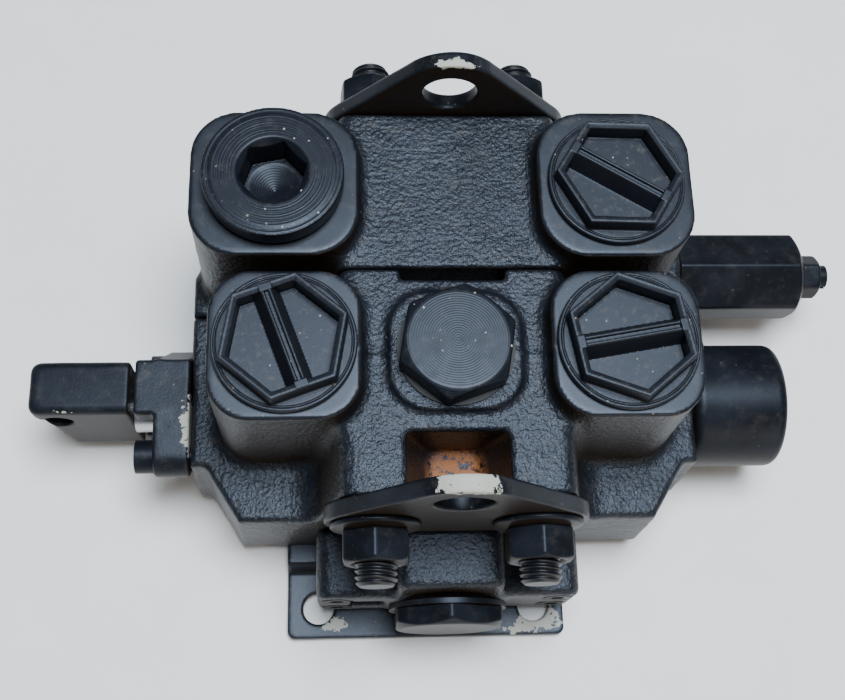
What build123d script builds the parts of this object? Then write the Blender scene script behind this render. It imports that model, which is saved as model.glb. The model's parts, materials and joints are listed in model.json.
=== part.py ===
"""Two-section hydraulic spool valve on a pair of sheet feet.

Frame: +X along the spool towards the detent cap, +Y from the end cover to the inlet section, +Z up
through the ports. The origin is the centre of the foot bolt pattern, on the plane the feet stand on.
Every size is in millimetres.
"""
import os
from math import cos, pi, radians, sin, tan

from build123d import *

# ---------------------------------------------------------------- driving dimensions
# Whole valve
MID_X = 5.0                 # middle plane of the valve, measured from the foot pattern's centre
HALF_WIDTH = 78.5           # middle plane to either side face
PORT_Z = 92.0               # plane of the port faces
JOINT_Y = 8.0               # joint between the spool section and the inlet section
SPOOL_SECTION_LONG = 66.0
INLET_SECTION_LONG = 50.0

# Spool and its bore
SPOOL_Y = -17.3
SPOOL_R = 10.0
SPOOL_RUNNING_GAP = 0.03
SLOT_GAP = 0.05             # between static pieces that slip into one another
FREE_HOLE_GAP = 0.2         # round a screw or a journal that passes through
END_FLOAT = 0.5             # between parts that only just miss each other end to end
SPOOL_TRAVEL = 14.0         # from fully in to fully out
LAND_PAST_TANK = 1.5        # last land still covers the tank groove when fully out
BORE_FLOOR_WALL = 9.0       # iron under the bore
BORE_ROOF_WALL = 8.0        # iron over the bore, up to the shoulder
GROOVE_WIDE = 6.0
GROOVE_DEEP = 3.0
WAIST_LONG = 5.0            # waists between the spool lands
WAIST_DEEP = 3.0
BRIDGE_WAIST_PAST = 7.9     # waist centres past the bridge and work grooves
WORK_WAIST_PAST = 4.9
BRIDGE_ABOVE_SEAT = 7.0
BRIDGE_R = 4.5
PRESSURE_R = 4.5
TANK_R = 4.0
TANK_ELBOW_OVER = 1.0       # elbow radius over the tank core radius
TANK_GALLERY_CLEAR = 3.3    # tank gallery centre past the grooves
CORE_OVERLAP = 1.5          # vertical cores run this far into the grooves
BYPASS_OFFSET = 16.0        # groove centres, measured from the middle plane
BRIDGE_OFFSET = 31.5
TANK_INSET = 21.5           # tank groove centre, measured from the side face
JOURNAL_R = 7.0             # part of the spool that runs through the seal cover
NOSE_R = 4.6                # part of the spool that sits in the tongue
NOSE_LONG = 12.8

# Casting outlines
STEP_IN = 4.7               # front corner step
STEP_FROM_FRONT = 17.0
CORNER_IN = 15.3            # how far the front corner comes in at the front face
NECK_TOP_HALF = 32.0
NECK_BASE_HALF = 40.0
NECK_DROP = 8.0             # neck top below the port faces
REAR_BEVEL = 12.0           # upright rear corners of the inlet section
WAIST_IN = 10.5             # left rear corner, in from the side face
WAIST_FROM_JOINT = 13.0     # where it starts to come in
WAIST_SLANT = 10.5
PAD_RAISE = 2.0             # check plug pad above the neck top
PAD_X, PAD_Y = 37.0, 34.5
BOSS_INSET = 31.2           # spool section boss centre, measured from the side face
FRONT_BOSS_X, FRONT_BOSS_Y = 42.0, 43.0
BOSS_CORNER_R = 12.0
REAR_BOSS_INSET = 29.3
REAR_BOSS_FROM_JOINT = 23.4
REAR_BOSS_SHIFT = -1.6      # both rear bosses lie this far off the middle plane
LEFT_REAR_BOSS_X, LEFT_REAR_BOSS_Y = 48.0, 45.0
RIGHT_REAR_BOSS_X, RIGHT_REAR_BOSS_Y = 45.0, 46.0
REAR_CORNER_R = 14.0
POCKET_HALF = 14.3          # open pocket in the front of the neck
POCKET_FLOOR_HALF = 7.0
POCKET_LONG = 17.7
POCKET_DEEP = 22.0
SLOT_HALF = 15.0            # notch in the joint edge
SLOT_LONG = 3.4
SLOT_DEEP = 12.0

# Ports and their plugs
PORT_THREAD_R = 15.9
PORT_THREAD_DEEP = 18.0
WORK_CORE_R = 7.0
INLET_CORE_R = 8.0
THREAD_GAP = 0.05           # between the plain cylinders that stand for mating threads
PLUG_FLANGE_R = 20.0
PLUG_STANDS = 7.0           # plug tops above the port faces
PLASTIC_FLANGE_THICK = 2.0
PLASTIC_HEX = 32.0          # across flats
PLASTIC_WALL = 2.2
PLASTIC_SHANK_LONG = 13.0
PLASTIC_SHANK_WALL = 2.5
BAR_TOP_WIDE, BAR_BASE_WIDE = 2.8, 7.6
BAR_DROP = 0.3              # cross bar below the rim
PLASTIC_FLOOR_SINK = 1.0    # floor inside the hex below the flange top
BAR_GROOVE_WIDE, BAR_GROOVE_DEEP = 0.6, 0.7
LEFT_PLUG_TURN = 20.2       # one hex corner from +X, and the bar from +X
LEFT_BAR_TURN = 110.2
RIGHT_PLUG_TURN = -20.2
RIGHT_BAR_TURN = 9.8
OUTLET_PLUG_TURN = -1.5
OUTLET_BAR_TURN = -31.5
SOCKET_HEX = 17.0
SOCKET_DEEP = 11.0
SOCKET_TURN = 12.0
SOCKET_DRILL_DEEP = 3.0
SOCKET_ENTRY_OVER = 0.6     # bevel round the socket, past its corners
SOCKET_ENTRY_DEEP = 1.4
PLUG_BEVEL = 0.8
PLUG_THREAD_SHORT = 2.0     # threads end short of their holes
SEAL_THICK = 1.0
JOINT_SEAL_PAST = 2.0       # seal bore past the passage it closes
JOINT_SEAL_WIDE = 2.0
COVER_SLOT_DEEP = 6.0       # bypass slot in the end cover

# Load check
CHECK_THREAD_R = 12.0
CHECK_THREAD_DEEP = 14.0
CHECK_BORE_R = 9.0
CHECK_RUNNING_GAP = 0.05
CHECK_SEAT_R = 6.0
CHECK_SEAT_UP = 23.0        # seat above the spool axis
CHECK_HEX = 30.0
CHECK_HEX_HIGH = 8.0
CHECK_HEX_TURN = 20.0
CHECK_SEAL_R = 16.5
CHECK_WIRE_R = 0.6
CHECK_PLUG_SHORT = 4.0      # plug end short of its thread
CHECK_TURNS = 7
SPRING_SIDE_GAP = 0.4       # round a coil in its bore
POPPET_WALL = 2.4
POPPET_FLOOR = 2.0
POPPET_NOSE_DROP = 1.0      # flat of the cone nose below the seat edge
SEAT_LIFT = 0.1             # cones just clear the edges that they close
POPPET_HIGH = 17.0

# Ties and eye plates
TIE_OFFSET = 22.6
TIE_DROP = 13.0             # tie rods below the neck top
TIE_R = 6.0
TIE_HOLE_GAP = 0.3
TIE_PROUD = 6.0             # rod end past the nut
NUT_HEX = 18.0
NUT_HIGH = 9.0
WASHER_R = 12.8
WASHER_THICK = 2.5
EYE_THICK = 5.0
EAR_R = 14.5
HUMP_R = 15.2
EYE_R = 8.0
EYE_ABOVE_TIES = 24.0

# End cover
COVER_HALF = 40.0
COVER_LONG = 21.3
COVER_FLOOR_UP = 2.0        # underside above the castings' underside
COVER_HIGH = 28.0
COVER_BOSS_HALF = 16.0
COVER_BOSS_HIGH = 40.0
COVER_BOSS_PROUD = 1.0
COVER_CORNER_R = 5.0
COVER_POCKET_X, COVER_POCKET_Z, COVER_POCKET_DEEP = 10.0, 12.0, 2.5
COVER_POCKET_OFFSET = -24.5
COVER_SCREW_R = 2.5
COVER_SCREW_HEAD_R = 4.25
COVER_SCREW_HEAD_HIGH = 5.0
COVER_SCREW_LONG = 30.0
COVER_SCREW_OFFSET = 33.8
COVER_SCREW_RISE = 6.5      # above and below the cover's mid height
END_THREAD_R = 13.0
END_THREAD_DEEP = 12.0
END_CORE_R = 10.0
END_HEX = 32.0
END_HEX_HIGH = 6.0
END_HEX_TURN = 90.0
END_WASHER_R = 18.0
END_WASHER_THICK = 1.5

# Feet
FOOT_THICK = 4.0
FOOT_HALF = 45.0
FOOT_PAST_FACE = 29.5       # outer edge past the castings' end faces
FOOT_UNDER = 20.0           # tab under the castings
FOOT_STEP_PAST_FACE = 5.0   # start of the joggle
FOOT_STEP_LONG = 3.0
FOOT_HOLE_R = 5.0
FOOT_HOLE_SPACING_X = 70.0
FOOT_HOLE_IN = 9.5          # hole centre in from the outer edge
FOOT_SCREW_R = 4.0
FOOT_SCREW_HEAD_R = 6.5
FOOT_SCREW_LONG = 12.0
FOOT_SCREW_SUNK = 0.4       # heads clear of the plane the feet stand on
FOOT_SCREW_HALF_X = 20.0
FOOT_SCREW_IN = 8.0         # screw centre in from the castings' end faces

# Seal cover and tongue
SEAL_COVER_THICK = 11.0
SEAL_ARM_LONG = 6.1
SEAL_ARM_WIDE = 17.7
SEAL_ARM_DOWN, SEAL_ARM_UP = 15.0, 18.0
ARM_BEHIND = 2.6            # middle plane of the arm and the tongue, behind the spool axis
ARM_WINDOW_DOWN, ARM_WINDOW_UP = 8.0, 10.0     # opening in the arm's front, from the spool axis
SEAL_SCREW_FRONT = (-17.7, 10.0)   # from the spool axis, in Y and Z
SEAL_SCREW_REAR = (17.0, -12.4)
SEAL_EAR_R = 6.4
SEAL_SCREW_R = 3.0
SEAL_SCREW_HEAD_R = 5.2
SEAL_SCREW_HEAD_HIGH = 5.6
SEAL_SCREW_IN = 14.0
WIPER_OVER = 1.0            # wiper radius over the spool radius
WIPER_DEEP = 6.0
TONGUE_GAP = 1.6
TONGUE_LONG = 30.4
TONGUE_WIDE = 16.8
TONGUE_DOWN, TONGUE_UP = 18.0, 18.0
TONGUE_EYE_R = 4.5
TONGUE_EYE_IN = 7.6
TONGUE_EYE_DROP = 10.5
TONGUE_END_R = 6.0
TONGUE_END_DROP = 7.0       # straight part of the outer end, below the top
TONGUE_KNEE_IN, TONGUE_KNEE_DROP = 3.5, 16.0
TONGUE_HEEL_IN = 6.3        # how far the outer end has come in at the underside
PIN_R = 2.0

# Detent
CAP_R = 19.8
CAP_WALL = 3.0
CAP_FLOOR = 2.0             # between the cap hollow and the side face
CAP_ROUND = 1.5
CAP_CLEARANCE = 1.5         # past the detent rod when the spool is fully in
CAP_SEAL_GAP = 0.6          # seal bore over the spool
CAP_SPIGOT_OVER = 6.0       # spigot radius over the spool radius
CAP_SPIGOT_DEEP = 8.0
CAP_SPIGOT_WALL = 2.5
CAP_SEAL_THICK = 1.5
ROD_R = 5.0
ROD_RUNNING_GAP = 0.05
ROD_THREAD_R = 3.0
ROD_THREAD_LONG = 12.0
ROD_PAST_GROOVE = 4.0
ROD_GROOVE_DEEP = 0.9
SLEEVE_FLANGE_THICK = 3.0
SLEEVE_TUBE_LONG = 13.0
SLEEVE_TUBE_R = 8.1
BALL_R = 2.0
BALL_GAP = 0.1
BALL_COUNT = 4
BALL_IN = 6.0               # ball centres in from the sleeve end
RING_WIRE_R = 0.6

# Relief valve
RELIEF_FROM_JOINT = 20.3
RELIEF_HEX = 26.0
RELIEF_HEX_LONG = 45.5
RELIEF_HEX_TURN = 36.2
RELIEF_FACE_SHARE = 0.6      # round end face over half the width across flats
RELIEF_THREAD_R = 10.0
RELIEF_THREAD_LONG = 12.0
RELIEF_NOSE_R = 8.0
RELIEF_BODY_IN = 33.5       # cartridge reach into the casting
RELIEF_GALLERY_R = 12.0
RELIEF_BORE_R = 6.0
RELIEF_RUNNING_GAP = 0.05
RELIEF_END_WALL = 10.0
RELIEF_SEAT_LONG = 8.0
RELIEF_SEAT_GAP = 3.0       # seat face to cartridge nose
RELIEF_SEAT_HOLE_R = 4.0
RELIEF_POPPET_LONG = 18.0
RELIEF_TIP_PAST = 2.0       # cone tip past the seat edge
VENT_R = 2.0                # cross holes in the cartridge nose
VENT_IN = 3.5
RELIEF_TURNS = 9
RELIEF_WIRE_R = 0.8
RELIEF_SPRING_LONG = 34.0
SPRING_SEAT_LONG = 5.0
ADJUSTER_R = 4.0
ADJUSTER_PROUD = 9.0
ADJUSTER_SLOT = 1.2
ADJUSTER_SLOT_DEEP = 1.8
LOCKNUT_HEX = 13.0
LOCKNUT_HIGH = 6.0
LOCKNUT_TURN = 20.0
RELIEF_SEAL_R = 13.0

# ---------------------------------------------------------------- places worked out from them
LEFT_X = MID_X - HALF_WIDTH
RIGHT_X = MID_X + HALF_WIDTH
FRONT_Y = JOINT_Y - SPOOL_SECTION_LONG
REAR_Y = JOINT_Y + INLET_SECTION_LONG
SEAT_Z = 2 * FOOT_THICK
SPOOL_Z = SEAT_Z + BORE_FLOOR_WALL + SPOOL_R
SHOULDER_Z = SPOOL_Z + SPOOL_R + BORE_ROOF_WALL
NECK_Z = PORT_Z - NECK_DROP
PAD_Z = NECK_Z + PAD_RAISE
TIE_Z = NECK_Z - TIE_DROP
EYE_Z = TIE_Z + EYE_ABOVE_TIES
WORK_OFFSET = HALF_WIDTH - BOSS_INSET
TANK_OFFSET = HALF_WIDTH - TANK_INSET
REAR_BOSS_OFFSET = HALF_WIDTH - REAR_BOSS_INSET
REAR_BOSS_CENTRE_Y = JOINT_Y + REAR_BOSS_FROM_JOINT
LEFT_REAR_BOSS = (MID_X + REAR_BOSS_SHIFT - REAR_BOSS_OFFSET, REAR_BOSS_CENTRE_Y)
RIGHT_REAR_BOSS = (MID_X + REAR_BOSS_SHIFT + REAR_BOSS_OFFSET, REAR_BOSS_CENTRE_Y)
RELIEF_Y = JOINT_Y + RELIEF_FROM_JOINT
SPOOL_AXIS = (SPOOL_Y, SPOOL_Z)
ARM_Y = SPOOL_Y + ARM_BEHIND
RELIEF_AXIS = (RELIEF_Y, SPOOL_Z)
CHECK_AXIS = (MID_X, SPOOL_Y)
END_AXIS = (MID_X, SPOOL_Z)
SPOOL_BORE_R = SPOOL_R + SPOOL_RUNNING_GAP
GROOVE_R = SPOOL_R + GROOVE_DEEP
GALLERY_TOP_Z = SPOOL_Z + GROOVE_R - CORE_OVERLAP
CHECK_SEAT_Z = SPOOL_Z + CHECK_SEAT_UP
BRIDGE_Z = CHECK_SEAT_Z + BRIDGE_ABOVE_SEAT
TANK_GALLERY_Z = SPOOL_Z + SPOOL_R
TANK_GALLERY_Y = SPOOL_Y + GROOVE_R + TANK_GALLERY_CLEAR
LAND_LEFT_X = LEFT_X + SPOOL_TRAVEL + END_FLOAT
LAND_RIGHT_X = MID_X + TANK_OFFSET + GROOVE_WIDE / 2 + SPOOL_TRAVEL + LAND_PAST_TANK
TONGUE_X = LEFT_X - SEAL_COVER_THICK - SEAL_ARM_LONG - TONGUE_GAP
SLEEVE_X = LAND_RIGHT_X + END_FLOAT
BALL_X = SLEEVE_X + SLEEVE_FLANGE_THICK + SLEEVE_TUBE_LONG - BALL_IN
ROD_END_X = BALL_X + SPOOL_TRAVEL + ROD_PAST_GROOVE
CAP_END_X = ROD_END_X + CAP_CLEARANCE + CAP_WALL
CAP_SPIGOT_R = SPOOL_R + CAP_SPIGOT_OVER
WIPER_R = SPOOL_R + WIPER_OVER
RELIEF_NOSE_X = RIGHT_X - RELIEF_BODY_IN
RELIEF_SEAT_X = RELIEF_NOSE_X - RELIEF_SEAT_GAP
RELIEF_END_X = RIGHT_X + RELIEF_HEX_LONG
POPPET_BACK_X = RELIEF_SEAT_X + RELIEF_POPPET_LONG
SPRING_SEAT_X = POPPET_BACK_X + RELIEF_SPRING_LONG
COVER_FRONT_Y = FRONT_Y - COVER_LONG
COVER_BOSS_Y = COVER_FRONT_Y - COVER_BOSS_PROUD
COVER_Z = SEAT_Z + COVER_FLOOR_UP
COVER_MID_Z = COVER_Z + COVER_HIGH / 2
COVER_SCREWS = [(MID_X + side * COVER_SCREW_OFFSET, COVER_MID_Z + rise * COVER_SCREW_RISE)
                for side in (-1, 1) for rise in (-1, 1)]
TIE_PLACES = [(MID_X - TIE_OFFSET, TIE_Z), (MID_X + TIE_OFFSET, TIE_Z)]
FRONT_PLATE_Y = FRONT_Y - EYE_THICK
REAR_PLATE_Y = REAR_Y + EYE_THICK


# ---------------------------------------------------------------- helpers
def slab(axis, start, end, sketch):
    """Extrude a sketch from start to end along one axis; it is drawn in the other two, in X, Y, Z order."""
    low, high = min(start, end), max(start, end)
    planes = {
        "x": Plane(origin=(low, 0, 0), x_dir=(0, 1, 0), z_dir=(1, 0, 0)),
        "y": Plane(origin=(0, high, 0), x_dir=(1, 0, 0), z_dir=(0, -1, 0)),
        "z": Plane(origin=(0, 0, low), x_dir=(1, 0, 0), z_dir=(0, 0, 1)),
    }
    plane = planes[axis]
    return extrude(plane * sketch, amount=high - low, dir=plane.z_dir)


def rod(axis, start, end, centre, radius):
    """Solid cylinder along an axis."""
    return slab(axis, start, end, Pos(*centre) * Circle(radius))


def ring(axis, start, end, centre, outer, inner):
    """Cylinder with a concentric hole."""
    return slab(axis, start, end, Pos(*centre) * (Circle(outer) - Circle(inner)))


def hexagon(across_flats, centre, turn=0.0):
    """Regular hexagon; turn gives the angle of one corner."""
    return Pos(*centre) * RegularPolygon(across_flats / 2, 6, major_radius=False, rotation=turn)


def turned(axis, centre, profile):
    """Revolve a closed profile of (place along the axis, radius) points about that axis."""
    points = [(radius, station) for station, radius in profile]
    face = make_face(Plane.XZ * Polyline(*points, close=True))
    solid = revolve(face, axis=Axis.Z)
    if axis == "x":
        return Pos(0, centre[0], centre[1]) * Rot(0, 90, 0) * solid
    if axis == "y":
        return Pos(centre[0], 0, centre[1]) * Rot(-90, 0, 0) * solid
    return Pos(centre[0], centre[1], 0) * solid


def hex_head(axis, seat, top, centre, across_flats, turn=0.0, face_share=0.95):
    """Hexagon from its seat to its top face, with the top corners turned off at 30 degrees.

    face_share is the radius of the round top face over half the width across flats.
    """
    way = 1 if top > seat else -1
    corner_r = across_flats / 2 / cos(radians(30))
    face_r = across_flats / 2 * face_share
    drop = (corner_r - face_r) * tan(radians(30))
    cone = turned(axis, centre, [(seat, 0), (seat, corner_r + 1), (top - way * drop, corner_r + 1),
                                 (top - way * drop, corner_r), (top, face_r), (top, 0)])
    return slab(axis, seat, top, hexagon(across_flats, centre, turn)) & cone


def spring(axis, start, end, centre, coil_r, wire_r, turns):
    """Helical compression spring between two planes along an axis."""
    path = Helix(pitch=(end - start - 2 * wire_r) / turns, height=end - start - 2 * wire_r, radius=coil_r)
    section = Plane(origin=path @ 0, z_dir=path % 0) * Circle(wire_r)
    coil = Pos(0, 0, start + wire_r) * sweep(section, path=path, is_frenet=True)
    if axis == "x":
        return Pos(0, centre[0], centre[1]) * Rot(0, 90, 0) * coil
    return Pos(centre[0], centre[1], 0) * coil


def socket_screw(axis, seat, way, centre, shank, shank_r, head_r, head_high):
    """Cap screw whose head stands on its seat in the direction way, with a hex socket."""
    across = shank_r * 1.6
    screw = rod(axis, seat - way * shank, seat, centre, shank_r)
    screw += rod(axis, seat, seat + way * head_high, centre, head_r)
    top = seat + way * head_high
    return screw - slab(axis, top - way * head_high / 2, top, hexagon(across, centre))


# ---------------------------------------------------------------- castings
def boss(centre, long_x, long_y, corner):
    """Rounded square port boss from inside the shoulder to the port face."""
    return slab("z", SHOULDER_Z - 5, PORT_Z, Pos(*centre) * RectangleRounded(long_x, long_y, corner))


def neck(y_start, y_end):
    """Raised middle with drafted sides, between the bosses."""
    outline = Polygon((MID_X - NECK_BASE_HALF, SHOULDER_Z - 1), (MID_X + NECK_BASE_HALF, SHOULDER_Z - 1),
                      (MID_X + NECK_TOP_HALF, NECK_Z), (MID_X - NECK_TOP_HALF, NECK_Z), align=None)
    return slab("y", y_start, y_end, outline)


def port_bore(centre, core_r, core_end_z):
    """Threaded port with its core down to the gallery."""
    return (rod("z", PORT_Z - PORT_THREAD_DEEP, PORT_Z, centre, PORT_THREAD_R)
            + rod("z", core_end_z, PORT_Z, centre, core_r))


def tie_holes(y_start, y_end):
    return Part() + [rod("y", y_start, y_end, place, TIE_R + TIE_HOLE_GAP) for place in TIE_PLACES]


def foot_screw_places(end_y):
    """Tapped holes for a foot, in from the end face at end_y."""
    inward = 1 if end_y < 0 else -1
    return [(side * FOOT_SCREW_HALF_X, end_y + inward * FOOT_SCREW_IN) for side in (-1, 1)]


def foot_taps(end_y):
    top = SEAT_Z + FOOT_SCREW_LONG - FOOT_THICK + 1
    return Part() + [rod("z", SEAT_Z, top, place, FOOT_SCREW_R + THREAD_GAP)
                     for place in foot_screw_places(end_y)]


def spool_section():
    """Front casting: spool bore and its grooves, two work ports, load check and bypass cores."""
    corner_y = FRONT_Y + STEP_FROM_FRONT
    inner = HALF_WIDTH - STEP_IN
    front = HALF_WIDTH - CORNER_IN
    right = [(HALF_WIDTH, JOINT_Y), (HALF_WIDTH, corner_y), (inner, corner_y), (front, FRONT_Y)]
    outline = [(MID_X + x, y) for x, y in right] + [(MID_X - x, y) for x, y in reversed(right)]
    body = slab("z", SEAT_Z, SHOULDER_Z, Polygon(*outline, align=None)) + neck(FRONT_Y, JOINT_Y)
    work_centres = [(MID_X + side * WORK_OFFSET, SPOOL_Y) for side in (-1, 1)]
    for centre in work_centres:
        body += boss(centre, FRONT_BOSS_X, FRONT_BOSS_Y, BOSS_CORNER_R)
    body += slab("z", NECK_Z - 3, PAD_Z, Pos(*CHECK_AXIS) * RectangleRounded(PAD_X, PAD_Y, BOSS_CORNER_R))

    body -= rod("x", LEFT_X, RIGHT_X, SPOOL_AXIS, SPOOL_BORE_R)
    offsets = [0] + [side * offset for side in (-1, 1)
                     for offset in (BYPASS_OFFSET, BRIDGE_OFFSET, WORK_OFFSET, TANK_OFFSET)]
    for offset in offsets:
        middle = MID_X + offset
        body -= rod("x", middle - GROOVE_WIDE / 2, middle + GROOVE_WIDE / 2, SPOOL_AXIS, GROOVE_R)
    body -= rod("x", RIGHT_X - CAP_SPIGOT_DEEP, RIGHT_X, SPOOL_AXIS, CAP_SPIGOT_R + THREAD_GAP)
    for centre in work_centres:
        body -= port_bore(centre, WORK_CORE_R, GALLERY_TOP_Z)

    body -= rod("z", PAD_Z - CHECK_THREAD_DEEP, PAD_Z, CHECK_AXIS, CHECK_THREAD_R + THREAD_GAP)
    body -= rod("z", CHECK_SEAT_Z, PAD_Z, CHECK_AXIS, CHECK_BORE_R)
    body -= rod("z", GALLERY_TOP_Z, PAD_Z, CHECK_AXIS, CHECK_SEAT_R)
    bridge_ends = (MID_X - BRIDGE_OFFSET, MID_X + BRIDGE_OFFSET)
    body -= rod("x", *bridge_ends, (SPOOL_Y, BRIDGE_Z), BRIDGE_R)
    for x in bridge_ends:
        body -= rod("z", GALLERY_TOP_Z, BRIDGE_Z, (x, SPOOL_Y), GROOVE_WIDE / 2 - 0.5)

    tank_ends = (MID_X - TANK_OFFSET, MID_X + TANK_OFFSET)
    body -= rod("x", *tank_ends, (TANK_GALLERY_Y, TANK_GALLERY_Z), TANK_R)
    elbow_r = TANK_R + TANK_ELBOW_OVER
    for x in tank_ends:
        body -= rod("y", SPOOL_Y, TANK_GALLERY_Y, (x, SPOOL_Z), TANK_R)
        body -= rod("z", SPOOL_Z - elbow_r, TANK_GALLERY_Z + elbow_r, (x, TANK_GALLERY_Y), elbow_r)
    body -= rod("y", SPOOL_Y, JOINT_Y, (tank_ends[1], SPOOL_Z), TANK_R)
    body -= rod("y", SPOOL_Y, JOINT_Y, END_AXIS, PRESSURE_R)
    for side in (-1, 1):
        body -= rod("y", FRONT_Y, SPOOL_Y, (MID_X + side * BYPASS_OFFSET, SPOOL_Z), TANK_R)

    pocket = Polygon((MID_X - POCKET_FLOOR_HALF, NECK_Z - POCKET_DEEP),
                     (MID_X + POCKET_FLOOR_HALF, NECK_Z - POCKET_DEEP),
                     (MID_X + POCKET_HALF, NECK_Z), (MID_X - POCKET_HALF, NECK_Z), align=None)
    body -= slab("y", FRONT_Y, FRONT_Y + POCKET_LONG, pocket)
    body -= slab("y", JOINT_Y - SLOT_LONG, JOINT_Y,
                 Pos(MID_X, NECK_Z - SLOT_DEEP / 2) * Rectangle(2 * SLOT_HALF, SLOT_DEEP))
    body -= tie_holes(FRONT_Y, JOINT_Y) + foot_taps(FRONT_Y)
    for place in COVER_SCREWS:
        body -= rod("y", FRONT_Y, FRONT_Y + COVER_SCREW_LONG - COVER_LONG + COVER_SCREW_HEAD_HIGH + 1,
                    place, COVER_SCREW_R + THREAD_GAP)
    for away in (SEAL_SCREW_FRONT, SEAL_SCREW_REAR):
        centre = (SPOOL_Y + away[0], SPOOL_Z + away[1])
        body -= rod("x", LEFT_X, LEFT_X + SEAL_SCREW_IN + 1, centre, SEAL_SCREW_R + THREAD_GAP)
    return body


def inlet_section():
    """Rear casting: inlet and outlet ports, relief valve cavity and the faces the joint seals sit in."""
    waist_y = JOINT_Y + WAIST_FROM_JOINT
    waist_x = LEFT_X + WAIST_IN
    outline = [(RIGHT_X, JOINT_Y), (RIGHT_X, REAR_Y - REAR_BEVEL), (RIGHT_X - REAR_BEVEL, REAR_Y),
               (waist_x + REAR_BEVEL, REAR_Y), (waist_x, REAR_Y - REAR_BEVEL),
               (waist_x, waist_y + WAIST_SLANT), (LEFT_X, waist_y), (LEFT_X, JOINT_Y)]
    body = slab("z", SEAT_Z, SHOULDER_Z, Polygon(*outline, align=None)) + neck(JOINT_Y, REAR_Y)
    body += boss(LEFT_REAR_BOSS, LEFT_REAR_BOSS_X, LEFT_REAR_BOSS_Y, REAR_CORNER_R)
    body += boss(RIGHT_REAR_BOSS, RIGHT_REAR_BOSS_X, RIGHT_REAR_BOSS_Y, REAR_CORNER_R)

    body -= port_bore(LEFT_REAR_BOSS, INLET_CORE_R, SPOOL_Z)
    body -= port_bore(RIGHT_REAR_BOSS, INLET_CORE_R, SPOOL_Z)
    body -= rod("x", RELIEF_NOSE_X - RELIEF_SEAT_GAP, RIGHT_X - RELIEF_THREAD_LONG, RELIEF_AXIS,
                RELIEF_GALLERY_R)
    body -= rod("x", LEFT_REAR_BOSS[0], RIGHT_X, RELIEF_AXIS, RELIEF_NOSE_R)
    body -= rod("x", RIGHT_X - RELIEF_THREAD_LONG - 1, RIGHT_X, RELIEF_AXIS, RELIEF_THREAD_R + THREAD_GAP)
    body -= rod("y", JOINT_Y, RELIEF_Y, END_AXIS, PRESSURE_R)
    body -= rod("y", JOINT_Y, RELIEF_Y, (MID_X + TANK_OFFSET, SPOOL_Z), TANK_R)
    for centre, hole in section_seal_places():
        body -= joint_seal(centre, hole, SLOT_GAP)
    return body - tie_holes(JOINT_Y, REAR_Y) - foot_taps(REAR_Y)


def end_cover():
    """Lower front casting that turns the bypass flow round behind the end plug."""
    middle = (MID_X, COVER_Z + COVER_HIGH / 2)
    body = slab("y", COVER_FRONT_Y, FRONT_Y,
                Pos(*middle) * RectangleRounded(2 * COVER_HALF, COVER_HIGH, COVER_CORNER_R))
    boss_middle = (MID_X, COVER_Z + COVER_BOSS_HIGH / 2)
    body += slab("y", COVER_BOSS_Y, FRONT_Y,
                 Pos(*boss_middle) * RectangleRounded(2 * COVER_BOSS_HALF, COVER_BOSS_HIGH, COVER_CORNER_R))
    body -= slab("y", FRONT_Y - COVER_SLOT_DEEP, FRONT_Y,
                 Pos(*END_AXIS) * SlotOverall(2 * (BYPASS_OFFSET + TANK_R), 2 * TANK_R))
    body -= rod("y", COVER_BOSS_Y, COVER_BOSS_Y + END_THREAD_DEEP, END_AXIS, END_THREAD_R + THREAD_GAP)
    body -= rod("y", COVER_BOSS_Y, FRONT_Y - COVER_SLOT_DEEP / 2, END_AXIS, END_CORE_R)
    body -= cover_seal_outline(SLOT_GAP)
    body -= slab("y", COVER_FRONT_Y, COVER_FRONT_Y + COVER_POCKET_DEEP,
                 Pos(MID_X + COVER_POCKET_OFFSET, COVER_MID_Z)
                 * RectangleRounded(COVER_POCKET_X, COVER_POCKET_Z, 2.0))
    for place in COVER_SCREWS:
        body -= rod("y", COVER_FRONT_Y, FRONT_Y, place, COVER_SCREW_R + THREAD_GAP)
        body -= rod("y", COVER_FRONT_Y, COVER_FRONT_Y + COVER_SCREW_HEAD_HIGH, place,
                    COVER_SCREW_HEAD_R + FREE_HOLE_GAP)
    return body


# ---------------------------------------------------------------- seals
def section_seal_places():
    """Centre and hole radius of each passage that crosses the joint."""
    return [(END_AXIS, PRESSURE_R), ((MID_X + TANK_OFFSET, SPOOL_Z), TANK_R)]


def joint_seal(centre, hole, extra):
    """Ring seal round a passage at the joint, with extra room all round for its groove."""
    inner = hole + JOINT_SEAL_PAST
    return ring("y", JOINT_Y, JOINT_Y + SEAL_THICK, centre, inner + JOINT_SEAL_WIDE + extra, inner - extra)


def section_seals():
    return Part() + [joint_seal(centre, hole, 0) for centre, hole in section_seal_places()]


def cover_seal_outline(extra):
    """Racetrack seal round the bypass slot, with extra room all round for its groove."""
    inner_long = 2 * (BYPASS_OFFSET + TANK_R + JOINT_SEAL_PAST)
    inner_high = 2 * (TANK_R + JOINT_SEAL_PAST)
    grow = 2 * (JOINT_SEAL_WIDE + extra)
    outer = SlotOverall(inner_long + grow, inner_high + grow)
    inner = SlotOverall(inner_long - 2 * extra, inner_high - 2 * extra)
    return slab("y", FRONT_Y - SEAL_THICK, FRONT_Y, Pos(*END_AXIS) * (outer - inner))


def end_cover_seal():
    return cover_seal_outline(0)


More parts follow.
